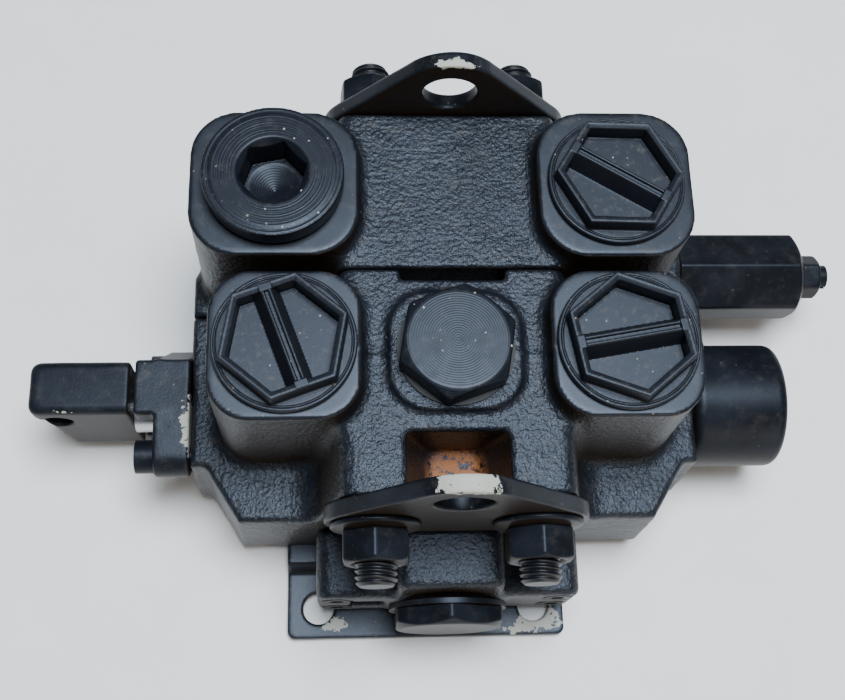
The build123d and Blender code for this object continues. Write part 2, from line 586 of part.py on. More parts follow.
# ---------------------------------------------------------------- eye plates and ties
def eye_plate(y_start, y_end):
    """Lifting eye: a hump between two ears, with tangent flanks."""
    circles = [Pos(MID_X, EYE_Z) * Circle(HUMP_R)]
    circles += [Pos(*place) * Circle(EAR_R) for place in TIE_PLACES]
    outline = make_hull(Sketch(children=circles).edges())
    outline -= Pos(MID_X, EYE_Z) * Circle(EYE_R)
    for place in TIE_PLACES:
        outline -= Pos(*place) * Circle(TIE_R + TIE_HOLE_GAP)
    return slab("y", y_start, y_end, outline)


def tie_rods():
    reach = EYE_THICK + WASHER_THICK + NUT_HIGH + TIE_PROUD
    return Part() + [rod("y", FRONT_Y - reach, REAR_Y + reach, place, TIE_R) for place in TIE_PLACES]


def tie_rod_washers():
    hole = TIE_R + TIE_HOLE_GAP
    return Part() + [ring("y", seat, seat + way * WASHER_THICK, place, WASHER_R, hole)
                     for seat, way in ((FRONT_PLATE_Y, -1), (REAR_PLATE_Y, 1)) for place in TIE_PLACES]


def tie_rod_nuts():
    nuts = []
    for seat, way, turns in ((FRONT_PLATE_Y - WASHER_THICK, -1, (93, 90)),
                             (REAR_PLATE_Y + WASHER_THICK, 1, (84, 100))):
        for place, turn in zip(TIE_PLACES, turns):
            nut = hex_head("y", seat, seat + way * NUT_HIGH, place, NUT_HEX, turn)
            nuts.append(nut - rod("y", seat, seat + way * NUT_HIGH, place, TIE_R + THREAD_GAP))
    return Part() + nuts


# ---------------------------------------------------------------- plugs
def plastic_plug(centre, hex_turn, bar_turn):
    """Shipping plug: flange, hollow shank, hex rim and a grooved bar across the hex."""
    top = PORT_Z + PLUG_STANDS
    floor = PORT_Z + PLASTIC_FLANGE_THICK
    plug = rod("z", PORT_Z, floor, centre, PLUG_FLANGE_R)
    plug += rod("z", PORT_Z - PLASTIC_SHANK_LONG, PORT_Z, centre, PORT_THREAD_R - THREAD_GAP)
    plug += slab("z", PORT_Z, top, hexagon(PLASTIC_HEX, centre, hex_turn))
    plug -= slab("z", floor - PLASTIC_FLOOR_SINK, top,
                 hexagon(PLASTIC_HEX - 2 * PLASTIC_WALL, centre, hex_turn))
    half = (PLASTIC_HEX - PLASTIC_WALL) / 2
    low, high = floor - PLASTIC_FLOOR_SINK - 0.5, top - BAR_DROP
    section = Polygon((-BAR_BASE_WIDE / 2, low), (BAR_BASE_WIDE / 2, low), (BAR_TOP_WIDE / 2, high),
                      (BAR_GROOVE_WIDE / 2, high), (BAR_GROOVE_WIDE / 2, high - BAR_GROOVE_DEEP),
                      (-BAR_GROOVE_WIDE / 2, high - BAR_GROOVE_DEEP), (-BAR_GROOVE_WIDE / 2, high),
                      (-BAR_TOP_WIDE / 2, high), align=None)
    plug += Pos(*centre) * Rot(0, 0, bar_turn) * slab("x", -half, half, section)
    hollow = PORT_THREAD_R - THREAD_GAP - PLASTIC_SHANK_WALL
    return plug - rod("z", PORT_Z - PLASTIC_SHANK_LONG, PORT_Z - PLASTIC_FLOOR_SINK, centre, hollow)


def port_plug_left():
    return plastic_plug((MID_X - WORK_OFFSET, SPOOL_Y), LEFT_PLUG_TURN, LEFT_BAR_TURN)


def port_plug_right():
    return plastic_plug((MID_X + WORK_OFFSET, SPOOL_Y), RIGHT_PLUG_TURN, RIGHT_BAR_TURN)


def outlet_port_plug():
    return plastic_plug(RIGHT_REAR_BOSS, OUTLET_PLUG_TURN, OUTLET_BAR_TURN)


def inlet_socket_plug():
    """Turned steel plug with a hex socket and the drill point under it."""
    centre = LEFT_REAR_BOSS
    top = PORT_Z + PLUG_STANDS
    seat = PORT_Z + SEAL_THICK
    low = PORT_Z - PORT_THREAD_DEEP + PLUG_THREAD_SHORT
    thread_r = PORT_THREAD_R - THREAD_GAP
    plug = turned("z", centre, [(low, 0), (low, thread_r - PLUG_BEVEL), (low + PLUG_BEVEL, thread_r),
                                (seat, thread_r), (seat, PLUG_FLANGE_R), (top - PLUG_BEVEL, PLUG_FLANGE_R),
                                (top, PLUG_FLANGE_R - PLUG_BEVEL), (top, 0)])
    floor = top - SOCKET_DEEP
    plug -= slab("z", floor, top, hexagon(SOCKET_HEX, centre, SOCKET_TURN))
    plug -= turned("z", centre, [(floor - SOCKET_DRILL_DEEP, 0), (floor, SOCKET_HEX / 2 - 1), (floor, 0)])
    entry_r = SOCKET_HEX / 2 / cos(radians(30)) + SOCKET_ENTRY_OVER
    entry_z = top - SOCKET_ENTRY_DEEP
    return plug - turned("z", centre, [(entry_z, 0), (entry_z, entry_r - SOCKET_ENTRY_DEEP), (top, entry_r),
                                       (top, 0)])


def inlet_plug_seal():
    centre = LEFT_REAR_BOSS
    outer = PLUG_FLANGE_R - PLUG_BEVEL
    return ring("z", PORT_Z, PORT_Z + SEAL_THICK, centre, outer, PORT_THREAD_R + SLOT_GAP)


def end_plug():
    seat = COVER_BOSS_Y - END_WASHER_THICK
    plug = hex_head("y", seat, seat - END_HEX_HIGH, END_AXIS, END_HEX, END_HEX_TURN)
    return plug + rod("y", seat, COVER_BOSS_Y + END_THREAD_DEEP - 1, END_AXIS, END_THREAD_R)


def end_plug_washer():
    return ring("y", COVER_BOSS_Y - END_WASHER_THICK, COVER_BOSS_Y, END_AXIS, END_WASHER_R,
                END_THREAD_R + SLOT_GAP)


def end_cover_screws():
    seat = COVER_FRONT_Y + COVER_SCREW_HEAD_HIGH
    shank = COVER_SCREW_LONG
    return Part() + [socket_screw("y", seat, -1, place, shank, COVER_SCREW_R, COVER_SCREW_HEAD_R,
                                  COVER_SCREW_HEAD_HIGH) for place in COVER_SCREWS]


# ---------------------------------------------------------------- load check
def check_plug():
    seat = PAD_Z + SEAL_THICK
    plug = hex_head("z", seat, seat + CHECK_HEX_HIGH, CHECK_AXIS, CHECK_HEX, CHECK_HEX_TURN)
    plug += rod("z", PAD_Z - CHECK_THREAD_DEEP + CHECK_PLUG_SHORT, seat, CHECK_AXIS, CHECK_THREAD_R)
    return plug


def check_plug_seal():
    return ring("z", PAD_Z, PAD_Z + SEAL_THICK, CHECK_AXIS, CHECK_SEAL_R, CHECK_THREAD_R + SLOT_GAP)


def check_poppet():
    """Cup with a cone nose that sits on the edge of its seat."""
    side_r = CHECK_BORE_R - CHECK_RUNNING_GAP
    tip_r = CHECK_SEAT_R - SEAT_LIFT - POPPET_NOSE_DROP
    cone = side_r - tip_r
    foot_z = CHECK_SEAT_Z - POPPET_NOSE_DROP
    cup_r = side_r - POPPET_WALL
    floor_z = foot_z + cone + POPPET_FLOOR
    return turned("z", CHECK_AXIS, [(foot_z, 0), (foot_z, tip_r), (foot_z + cone, side_r),
                                    (foot_z + POPPET_HIGH, side_r), (foot_z + POPPET_HIGH, cup_r),
                                    (floor_z, cup_r), (floor_z, 0)])


def check_spring():
    side_r = CHECK_BORE_R - CHECK_RUNNING_GAP
    coil_r = side_r - POPPET_WALL - CHECK_WIRE_R - SPRING_SIDE_GAP
    floor_z = CHECK_SEAT_Z + side_r - (CHECK_SEAT_R - SEAT_LIFT) + POPPET_FLOOR
    plug_z = PAD_Z - CHECK_THREAD_DEEP + CHECK_PLUG_SHORT
    return spring("z", floor_z + SLOT_GAP, plug_z - SLOT_GAP, CHECK_AXIS, coil_r, CHECK_WIRE_R, CHECK_TURNS)


# ---------------------------------------------------------------- spool, tongue and seal cover
def spool():
    """Spool with a waist at each groove pair, a journal through the seal and a nose in the tongue."""
    nose_end = TONGUE_X - NOSE_LONG
    body = rod("x", LAND_LEFT_X, LAND_RIGHT_X, SPOOL_AXIS, SPOOL_R)
    body += rod("x", TONGUE_X, LAND_LEFT_X, SPOOL_AXIS, JOURNAL_R)
    body += rod("x", nose_end, TONGUE_X, SPOOL_AXIS, NOSE_R)
    shift = SPOOL_TRAVEL / 2
    for offset in (BYPASS_OFFSET / 2, BRIDGE_OFFSET + BRIDGE_WAIST_PAST, WORK_OFFSET + WORK_WAIST_PAST):
        for side in (-1, 1):
            middle = MID_X + side * offset + shift
            body -= ring("x", middle - WAIST_LONG / 2, middle + WAIST_LONG / 2, SPOOL_AXIS, SPOOL_R + 1,
                         SPOOL_R - WAIST_DEEP)
    body -= rod("x", LAND_RIGHT_X - ROD_THREAD_LONG - 1, LAND_RIGHT_X, SPOOL_AXIS, ROD_THREAD_R + THREAD_GAP)
    pin_x = TONGUE_X - NOSE_LONG / 2
    return body - rod("z", SPOOL_Z - NOSE_R, SPOOL_Z + NOSE_R, (pin_x, SPOOL_Y), PIN_R + SLOT_GAP)


def tongue_profile():
    """Side view of the tongue, in X and Z: rounded outer corner, and an end that comes in as it drops."""
    right, left = TONGUE_X, TONGUE_X - TONGUE_LONG
    low, high = SPOOL_Z - TONGUE_DOWN, SPOOL_Z + TONGUE_UP
    outline = Polygon((right, low), (right, high), (left, high), (left, high - TONGUE_END_DROP),
                      (left + TONGUE_KNEE_IN, high - TONGUE_KNEE_DROP), (left + TONGUE_HEEL_IN, low),
                      align=None)
    top_corner = outline.vertices().sort_by_distance((left, high, 0))[0]
    return fillet(top_corner, TONGUE_END_R)


def spool_tongue():
    front, rear = ARM_Y - TONGUE_WIDE / 2, ARM_Y + TONGUE_WIDE / 2
    body = slab("y", front, rear, tongue_profile())
    body -= rod("x", TONGUE_X - NOSE_LONG - 1, TONGUE_X, SPOOL_AXIS, NOSE_R + SLOT_GAP)
    eye = (TONGUE_X - TONGUE_LONG + TONGUE_EYE_IN, SPOOL_Z + TONGUE_UP - TONGUE_EYE_DROP)
    body -= rod("y", front, rear, eye, TONGUE_EYE_R)
    pin_place = (TONGUE_X - NOSE_LONG / 2, SPOOL_Y)
    return body - rod("z", SPOOL_Z - TONGUE_DOWN, SPOOL_Z + NOSE_R + 2, pin_place, PIN_R + SLOT_GAP)


def tongue_pin():
    pin_place = (TONGUE_X - NOSE_LONG / 2, SPOOL_Y)
    return rod("z", SPOOL_Z - TONGUE_DOWN + 1, SPOOL_Z + NOSE_R + 1.5, pin_place, PIN_R)


def seal_screw_places():
    return [(SPOOL_Y + away[0], SPOOL_Z + away[1]) for away in (SEAL_SCREW_FRONT, SEAL_SCREW_REAR)]


def seal_cover():
    """Flange with two diagonal ears, and an arm round the spool journal, open in front."""
    arm_middle = (ARM_Y, SPOOL_Z + (SEAL_ARM_UP - SEAL_ARM_DOWN) / 2)
    arm = Pos(*arm_middle) * Rectangle(SEAL_ARM_WIDE, SEAL_ARM_UP + SEAL_ARM_DOWN)
    ears = [Pos(*place) * Circle(SEAL_EAR_R) for place in seal_screw_places()]
    outline = make_hull(Sketch(children=[arm] + ears).edges())
    flange_x = LEFT_X - SEAL_COVER_THICK
    cover = slab("x", flange_x, LEFT_X, outline)
    cover += slab("x", flange_x - SEAL_ARM_LONG, flange_x, arm)
    cover -= rod("x", flange_x - SEAL_ARM_LONG, LEFT_X, SPOOL_AXIS, JOURNAL_R + FREE_HOLE_GAP)
    cover -= rod("x", LEFT_X - WIPER_DEEP, LEFT_X, SPOOL_AXIS, WIPER_R + SLOT_GAP)
    outside_y = ARM_Y - SEAL_ARM_WIDE
    low, high = SPOOL_Z - ARM_WINDOW_DOWN, SPOOL_Z + ARM_WINDOW_UP
    window = Polygon((outside_y, low), (SPOOL_Y, low), (SPOOL_Y, high), (outside_y, high), align=None)
    cover -= slab("x", flange_x - SEAL_ARM_LONG, flange_x, window)
    for place in seal_screw_places():
        cover -= rod("x", flange_x, LEFT_X, place, SEAL_SCREW_R + FREE_HOLE_GAP)
    return cover


def seal_cover_screws():
    seat = LEFT_X - SEAL_COVER_THICK
    shank = SEAL_COVER_THICK + SEAL_SCREW_IN
    return Part() + [socket_screw("x", seat, -1, place, shank, SEAL_SCREW_R, SEAL_SCREW_HEAD_R,
                                  SEAL_SCREW_HEAD_HIGH) for place in seal_screw_places()]


def spool_wiper():
    return ring("x", LEFT_X - WIPER_DEEP, LEFT_X, SPOOL_AXIS, WIPER_R, JOURNAL_R + ROD_RUNNING_GAP)


# ---------------------------------------------------------------- detent
def detent_cap():
    """Round cap screwed into the side face, hollow for the detent."""
    spigot = ring("x", RIGHT_X - CAP_SPIGOT_DEEP + CAP_SEAL_THICK, RIGHT_X + 1, SPOOL_AXIS, CAP_SPIGOT_R,
                  CAP_SPIGOT_R - CAP_SPIGOT_WALL)
    shell = turned("x", SPOOL_AXIS, [(RIGHT_X, 0), (RIGHT_X, CAP_R), (CAP_END_X - CAP_ROUND, CAP_R),
                                     (CAP_END_X, CAP_R - CAP_ROUND), (CAP_END_X, 0)])
    shell -= rod("x", RIGHT_X + CAP_FLOOR, CAP_END_X - CAP_WALL, SPOOL_AXIS, CAP_R - CAP_WALL)
    shell -= rod("x", RIGHT_X, CAP_END_X - CAP_WALL, SPOOL_AXIS, CAP_SPIGOT_R - CAP_SPIGOT_WALL)
    return shell + spigot


def cap_seal():
    start = RIGHT_X - CAP_SPIGOT_DEEP
    return ring("x", start, start + CAP_SEAL_THICK, SPOOL_AXIS, CAP_SPIGOT_R, SPOOL_R + CAP_SEAL_GAP)


def ball_places():
    """Centres of the detent balls round the rod."""
    away = ROD_R + BALL_GAP + BALL_R
    step = 2 * pi / BALL_COUNT
    return [(BALL_X, SPOOL_Y + away * cos(step * (index + 0.5)), SPOOL_Z + away * sin(step * (index + 0.5)))
            for index in range(BALL_COUNT)]


def detent_sleeve():
    tube_x = SLEEVE_X + SLEEVE_FLANGE_THICK
    flange_r = CAP_SPIGOT_R - CAP_SPIGOT_WALL - SLOT_GAP
    sleeve = rod("x", SLEEVE_X, tube_x, SPOOL_AXIS, flange_r)
    sleeve += rod("x", tube_x, tube_x + SLEEVE_TUBE_LONG, SPOOL_AXIS, SLEEVE_TUBE_R)
    sleeve -= rod("x", SLEEVE_X, tube_x + SLEEVE_TUBE_LONG, SPOOL_AXIS, ROD_R + ROD_RUNNING_GAP)
    for x, y, z in ball_places():
        way = Vector(0, y - SPOOL_Y, z - SPOOL_Z)
        hole = Plane(origin=(x, SPOOL_Y, SPOOL_Z), z_dir=way) * Circle(BALL_R + SLOT_GAP)
        sleeve -= extrude(hole, amount=SLEEVE_TUBE_R + 2)
    return sleeve


def detent_balls():
    return Part() + [Pos(*place) * Sphere(BALL_R) for place in ball_places()]


def detent_spring():
    """Ring spring round the balls."""
    ring_r = ROD_R + BALL_GAP + 2 * BALL_R + RING_WIRE_R + SLOT_GAP
    return Pos(BALL_X, SPOOL_Y, SPOOL_Z) * Rot(0, 90, 0) * Torus(ring_r, RING_WIRE_R)


def detent_rod():
    """Rod on the spool's end, with one round groove for each of the three positions."""
    body = rod("x", LAND_RIGHT_X, ROD_END_X, SPOOL_AXIS, ROD_R)
    body += rod("x", LAND_RIGHT_X - ROD_THREAD_LONG, LAND_RIGHT_X, SPOOL_AXIS, ROD_THREAD_R)
    groove_r = ROD_R - ROD_GROOVE_DEEP + BALL_R
    for step in range(3):
        groove = Pos(BALL_X + step * SPOOL_TRAVEL / 2, SPOOL_Y, SPOOL_Z) * Rot(0, 90, 0)
        body -= groove * Torus(groove_r, BALL_R)
    return body


# ---------------------------------------------------------------- relief valve
def relief_body():
    """Cartridge: long hexagon outside, thread and vented nose inside the casting."""
    body = hex_head("x", RIGHT_X + SEAL_THICK, RELIEF_END_X, RELIEF_AXIS, RELIEF_HEX, RELIEF_HEX_TURN,
                    RELIEF_FACE_SHARE)
    body += rod("x", RIGHT_X - RELIEF_THREAD_LONG, RIGHT_X + SEAL_THICK, RELIEF_AXIS, RELIEF_THREAD_R)
    body += rod("x", RELIEF_NOSE_X, RIGHT_X - RELIEF_THREAD_LONG, RELIEF_AXIS, RELIEF_NOSE_R - SLOT_GAP)
    body -= rod("x", RELIEF_NOSE_X, RELIEF_END_X - RELIEF_END_WALL, RELIEF_AXIS, RELIEF_BORE_R)
    body -= rod("x", RELIEF_NOSE_X, RELIEF_END_X, RELIEF_AXIS, ADJUSTER_R + RELIEF_RUNNING_GAP)
    vent_x = RELIEF_NOSE_X + VENT_IN
    reach = RELIEF_NOSE_R + 1
    body -= rod("z", SPOOL_Z - reach, SPOOL_Z + reach, (vent_x, RELIEF_Y), VENT_R)
    return body - rod("y", RELIEF_Y - reach, RELIEF_Y + reach, (vent_x, SPOOL_Z), VENT_R)


def relief_seal():
    return ring("x", RIGHT_X, RIGHT_X + SEAL_THICK, RELIEF_AXIS, RELIEF_SEAL_R, RELIEF_THREAD_R + SLOT_GAP)


def relief_seat():
    end = RELIEF_SEAT_X
    return ring("x", end - RELIEF_SEAT_LONG, end, RELIEF_AXIS, RELIEF_NOSE_R - SLOT_GAP, RELIEF_SEAT_HOLE_R)


def relief_poppet():
    """Cone on a guided stem; the cone just clears the edge of its seat."""
    guide_r = RELIEF_BORE_R - RELIEF_RUNNING_GAP
    tip_x = RELIEF_SEAT_X - RELIEF_TIP_PAST
    tip_r = RELIEF_SEAT_HOLE_R - RELIEF_TIP_PAST - SLOT_GAP
    return turned("x", RELIEF_AXIS, [(tip_x, 0), (tip_x, tip_r), (tip_x + guide_r - tip_r, guide_r),
                                     (POPPET_BACK_X, guide_r), (POPPET_BACK_X, 0)])


def relief_spring():
    coil_r = RELIEF_BORE_R - RELIEF_WIRE_R - SPRING_SIDE_GAP
    return spring("x", POPPET_BACK_X + SLOT_GAP, SPRING_SEAT_X - SLOT_GAP, RELIEF_AXIS, coil_r,
                  RELIEF_WIRE_R, RELIEF_TURNS)


def relief_spring_seat():
    return rod("x", SPRING_SEAT_X, SPRING_SEAT_X + SPRING_SEAT_LONG, RELIEF_AXIS,
               RELIEF_BORE_R - RELIEF_RUNNING_GAP)


def relief_adjuster():
    """Adjusting screw with a screwdriver slot in its outer end."""
    start = SPRING_SEAT_X + SPRING_SEAT_LONG + SLOT_GAP
    end = RELIEF_END_X + ADJUSTER_PROUD
    body = rod("x", start, end, RELIEF_AXIS, ADJUSTER_R)
    slot = Pos(*RELIEF_AXIS) * Rectangle(3 * ADJUSTER_R, ADJUSTER_SLOT)
    return body - slab("x", end - ADJUSTER_SLOT_DEEP, end, slot)


def relief_locknut():
    nut = hex_head("x", RELIEF_END_X, RELIEF_END_X + LOCKNUT_HIGH, RELIEF_AXIS, LOCKNUT_HEX, LOCKNUT_TURN)
    return nut - rod("x", RELIEF_END_X, RELIEF_END_X + LOCKNUT_HIGH, RELIEF_AXIS,
                     ADJUSTER_R + RELIEF_RUNNING_GAP)


# ---------------------------------------------------------------- feet
def foot(end_y):
    """Sheet foot with a joggle up to the tab that is bolted under a casting."""
    way = -1 if end_y < 0 else 1
    step = end_y + way * FOOT_STEP_PAST_FACE
    outer = end_y + way * FOOT_PAST_FACE
    inner = end_y - way * FOOT_UNDER
    profile = Polygon((inner, FOOT_THICK), (inner, 2 * FOOT_THICK), (step, 2 * FOOT_THICK),
                      (step + way * FOOT_STEP_LONG, FOOT_THICK), (outer, FOOT_THICK), (outer, 0),
                      (step + way * FOOT_STEP_LONG, 0), (step, FOOT_THICK), align=None)
    body = slab("x", -FOOT_HALF, FOOT_HALF, profile)
    for side in (-1, 1):
        hole = (side * FOOT_HOLE_SPACING_X / 2, outer - way * FOOT_HOLE_IN)
        body -= rod("z", 0, FOOT_THICK, hole, FOOT_HOLE_R)
    for place in foot_screw_places(end_y):
        body -= rod("z", FOOT_THICK, 2 * FOOT_THICK, place, FOOT_SCREW_R + FREE_HOLE_GAP)
    return body


def foot_screws():
    head = FOOT_THICK - FOOT_SCREW_SUNK
    return Part() + [socket_screw("z", FOOT_THICK, -1, place, FOOT_SCREW_LONG, FOOT_SCREW_R,
                                  FOOT_SCREW_HEAD_R, head)
                     for end_y in (FRONT_Y, REAR_Y) for place in foot_screw_places(end_y)]


# ---------------------------------------------------------------- every node, by name
NODES = {
    "spool_section": spool_section,
    "inlet_section": inlet_section,
    "end_cover": end_cover,
    "section_seals": section_seals,
    "end_cover_seal": end_cover_seal,
    "end_cover_screws": end_cover_screws,
    "end_plug": end_plug,
    "end_plug_washer": end_plug_washer,
    "eye_plate_front": lambda: eye_plate(FRONT_PLATE_Y, FRONT_Y),
    "eye_plate_rear": lambda: eye_plate(REAR_Y, REAR_PLATE_Y),
    "tie_rods": tie_rods,
    "tie_rod_nuts": tie_rod_nuts,
    "tie_rod_washers": tie_rod_washers,
    "foot_front": lambda: foot(FRONT_Y),
    "foot_rear": lambda: foot(REAR_Y),
    "foot_screws": foot_screws,
    "port_plug_left": port_plug_left,
    "port_plug_right": port_plug_right,
    "outlet_port_plug": outlet_port_plug,
    "inlet_socket_plug": inlet_socket_plug,
    "inlet_plug_seal": inlet_plug_seal,
    "check_plug": check_plug,
    "check_plug_seal": check_plug_seal,
    "check_poppet": check_poppet,
    "check_spring": check_spring,
    "spool": spool,
    "spool_tongue": spool_tongue,
    "tongue_pin": tongue_pin,
    "spool_wiper": spool_wiper,
    "seal_cover": seal_cover,
    "seal_cover_screws": seal_cover_screws,
    "detent_cap": detent_cap,
    "cap_seal": cap_seal,
    "detent_sleeve": detent_sleeve,
    "detent_balls": detent_balls,
    "detent_spring": detent_spring,
    "detent_rod": detent_rod,
    "relief_body": relief_body,
    "relief_seal": relief_seal,
    "relief_seat": relief_seat,
    "relief_poppet": relief_poppet,
    "relief_spring": relief_spring,
    "relief_spring_seat": relief_spring_seat,
    "relief_adjuster": relief_adjuster,
    "relief_locknut": relief_locknut,
}

os.makedirs("parts", exist_ok=True)
for node, build in NODES.items():
    export_step(build(), f"parts/{node}.step")
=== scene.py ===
"""Looks of a two-section hydraulic spool valve, built round its CAD frame."""
import json
import math

import bpy
import numpy as np
from mathutils import Matrix, Vector


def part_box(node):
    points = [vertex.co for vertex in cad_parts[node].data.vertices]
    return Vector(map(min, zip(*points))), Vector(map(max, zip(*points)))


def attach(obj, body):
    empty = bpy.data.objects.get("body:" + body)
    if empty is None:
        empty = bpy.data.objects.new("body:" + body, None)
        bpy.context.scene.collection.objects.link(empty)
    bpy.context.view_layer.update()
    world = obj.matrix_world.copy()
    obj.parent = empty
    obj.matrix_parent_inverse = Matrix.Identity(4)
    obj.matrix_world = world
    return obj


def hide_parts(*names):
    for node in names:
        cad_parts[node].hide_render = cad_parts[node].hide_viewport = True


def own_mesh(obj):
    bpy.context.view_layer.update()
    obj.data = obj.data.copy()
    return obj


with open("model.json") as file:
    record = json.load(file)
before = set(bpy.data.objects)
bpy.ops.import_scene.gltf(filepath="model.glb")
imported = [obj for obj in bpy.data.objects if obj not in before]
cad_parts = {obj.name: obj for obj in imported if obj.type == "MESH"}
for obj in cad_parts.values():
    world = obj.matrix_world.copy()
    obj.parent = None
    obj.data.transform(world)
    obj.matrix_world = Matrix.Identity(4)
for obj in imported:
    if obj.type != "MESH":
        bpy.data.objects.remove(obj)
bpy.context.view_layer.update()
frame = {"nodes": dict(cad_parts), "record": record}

MM = 0.001              # shapes are worked out in millimetres and stored in metres


# ---------------------------- places read from the frame
def low_high(node):
    """Lowest and highest corner of a CAD node, in millimetres."""
    low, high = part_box(node)
    return np.array(low) / MM, np.array(high) / MM


def middle(node):
    """Middle of a CAD node's box, in millimetres."""
    low, high = low_high(node)
    return (low + high) / 2


MOUNTS = {mount["name"]: mount for mount in frame["record"]["mounts"]}
SPOOL_LOW, SPOOL_HIGH = low_high("spool_section")
INLET_LOW, INLET_HIGH = low_high("inlet_section")
COVER_LOW, COVER_HIGH = low_high("end_cover")
LEFT_X, FRONT_Y, SEAT_Z = SPOOL_LOW
RIGHT_X, JOINT_Y, PORT_Z = SPOOL_HIGH
REAR_Y = INLET_HIGH[1]
MID_X = (LEFT_X + RIGHT_X) / 2
HALF = (RIGHT_X - LEFT_X) / 2
SPOOL_Y, SPOOL_Z = middle("detent_cap")[1:]
RELIEF_Y = middle("relief_adjuster")[1]
LEFT_PLUG, RIGHT_PLUG = middle("port_plug_left"), middle("port_plug_right")
OUTLET_PLUG, SOCKET_PLUG = middle("outlet_port_plug"), middle("inlet_socket_plug")
CHECK = middle("check_plug_seal")
PAD_Z = low_high("check_plug_seal")[0][2]
TIE_LOW, TIE_HIGH = low_high("tie_rods")
TIE_R = (TIE_HIGH[2] - TIE_LOW[2]) / 2
TIE_Z = (TIE_LOW[2] + TIE_HIGH[2]) / 2
TIE_X = (TIE_LOW[0] + TIE_R, TIE_HIGH[0] - TIE_R)
EYE_Z = MOUNTS["lifting_eye_front"]["pos_m"][2] / MM
EYE_R = MOUNTS["lifting_eye_front"]["dims"]["r_mm"]
PLUG_TOP_Z = low_high("port_plug_left")[1][2]
NECK_Z = PORT_Z - 8.0
SHOULDER_Z = SPOOL_Z + 18.0


# ---------------------------- distance fields
def smooth_min(a, b, blend):
    """Union whose corner is filled by a quadratic round of the given size."""
    near = np.maximum(blend - np.abs(a - b), 0) / blend
    return np.minimum(a, b) - near * near * blend / 4


def smooth_max(a, b, blend):
    """Intersection with a rounded edge."""
    return -smooth_min(-a, -b, blend)


def cut(shape, hole, blend):
    """Shape less a hole, with its edge rounded."""
    return smooth_max(shape, -hole, blend)


def rectangle(u, v, centre, half_u, half_v, corner=0.0):
    """Plane distance to a rectangle with rounded corners."""
    a = np.abs(u - centre[0]) - half_u + corner
    b = np.abs(v - centre[1]) - half_v + corner
    return np.hypot(np.maximum(a, 0), np.maximum(b, 0)) + np.minimum(np.maximum(a, b), 0) - corner


def disc(u, v, centre, radius):
    """Plane distance to a circle."""
    return np.hypot(u - centre[0], v - centre[1]) - radius


def hexagon(u, v, centre, across, turn):
    """Plane distance to a hexagon with one corner at the angle turn: the largest of six edge distances."""
    angle = np.arctan2(v - centre[1], u - centre[0]) - math.radians(turn + 30)
    fold = (angle + math.pi / 6) % (math.pi / 3) - math.pi / 6
    return np.hypot(u - centre[0], v - centre[1]) * np.cos(fold) - across / 2


def convex(u, v, corners):
    """Plane distance to a convex outline, from its corners listed anticlockwise."""
    distance = np.full(np.broadcast(u, v).shape, -1e3, np.float32)
    for (u0, v0), (u1, v1) in zip(corners, corners[1:] + corners[:1]):
        length = math.hypot(u1 - u0, v1 - v0)
        distance = np.maximum(distance, ((u - u0) * (v1 - v0) - (v - v0) * (u1 - u0)) / length)
    return distance


def hull(circles):
    """Corners, anticlockwise, of the smallest convex outline round circles of (u, v, radius)."""
    angle = np.linspace(0, 2 * math.pi, 48, endpoint=False)
    rim = sorted((u + radius * c, v + radius * s) for u, v, radius in circles
                 for c, s in zip(np.cos(angle).tolist(), np.sin(angle).tolist()))

    def chain(points):
        kept = []
        for point in points:
            while len(kept) > 1 and ((kept[-1][0] - kept[-2][0]) * (point[1] - kept[-2][1])
                                     - (kept[-1][1] - kept[-2][1]) * (point[0] - kept[-2][0])) <= 0.001:
                kept.pop()
            kept.append(point)
        return kept[:-1]

    return chain(rim) + chain(rim[::-1])


def between(w, low, high):
    """Distance to the layer from low to high: below 0 inside it."""
    return np.abs(w - (low + high) / 2) - (high - low) / 2


def raised(outline, w, low, high, edge):
    """Outline carried from low to high, with rounded edges."""
    return smooth_max(outline, between(w, low, high), edge)


def lattice_noise(points, size, seed):
    """Smooth noise from -1 to 1: random values on a cubic lattice, eased between its corners."""
    table = np.random.default_rng(seed).uniform(-1, 1, (32, 32, 32)).astype(np.float32)
    scaled = points / size
    cell = np.floor(scaled).astype(int)
    part = scaled - cell
    part = part * part * (3 - 2 * part)
    value = 0
    for corner in np.ndindex(2, 2, 2):
        weight = np.prod(np.where(corner, part, 1 - part), axis=1)
        index = (cell + corner) % 32
        value = value + weight * table[index[:, 0], index[:, 1], index[:, 2]]
    return value


# ---------------------------- meshes
def make_object(name, points, faces, body, material, replaced=(), normals=None):
    """Mesh object from points in millimetres, given its body and the nodes it stands for."""
    mesh = bpy.data.meshes.new(name)
    mesh.from_pydata((np.asarray(points) * MM).tolist(), [], np.asarray(faces).tolist())
    mesh.polygons.foreach_set("use_smooth", np.full(len(mesh.polygons), True))
    if normals is not None:
        mesh.normals_split_custom_set_from_vertices(normals.tolist())
    mesh.materials.append(material)
    mesh.update()
    obj = bpy.data.objects.new(name, mesh)
    bpy.context.scene.collection.objects.link(obj)
    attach(obj, body)
    if replaced:
        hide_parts(*replaced)
    return obj


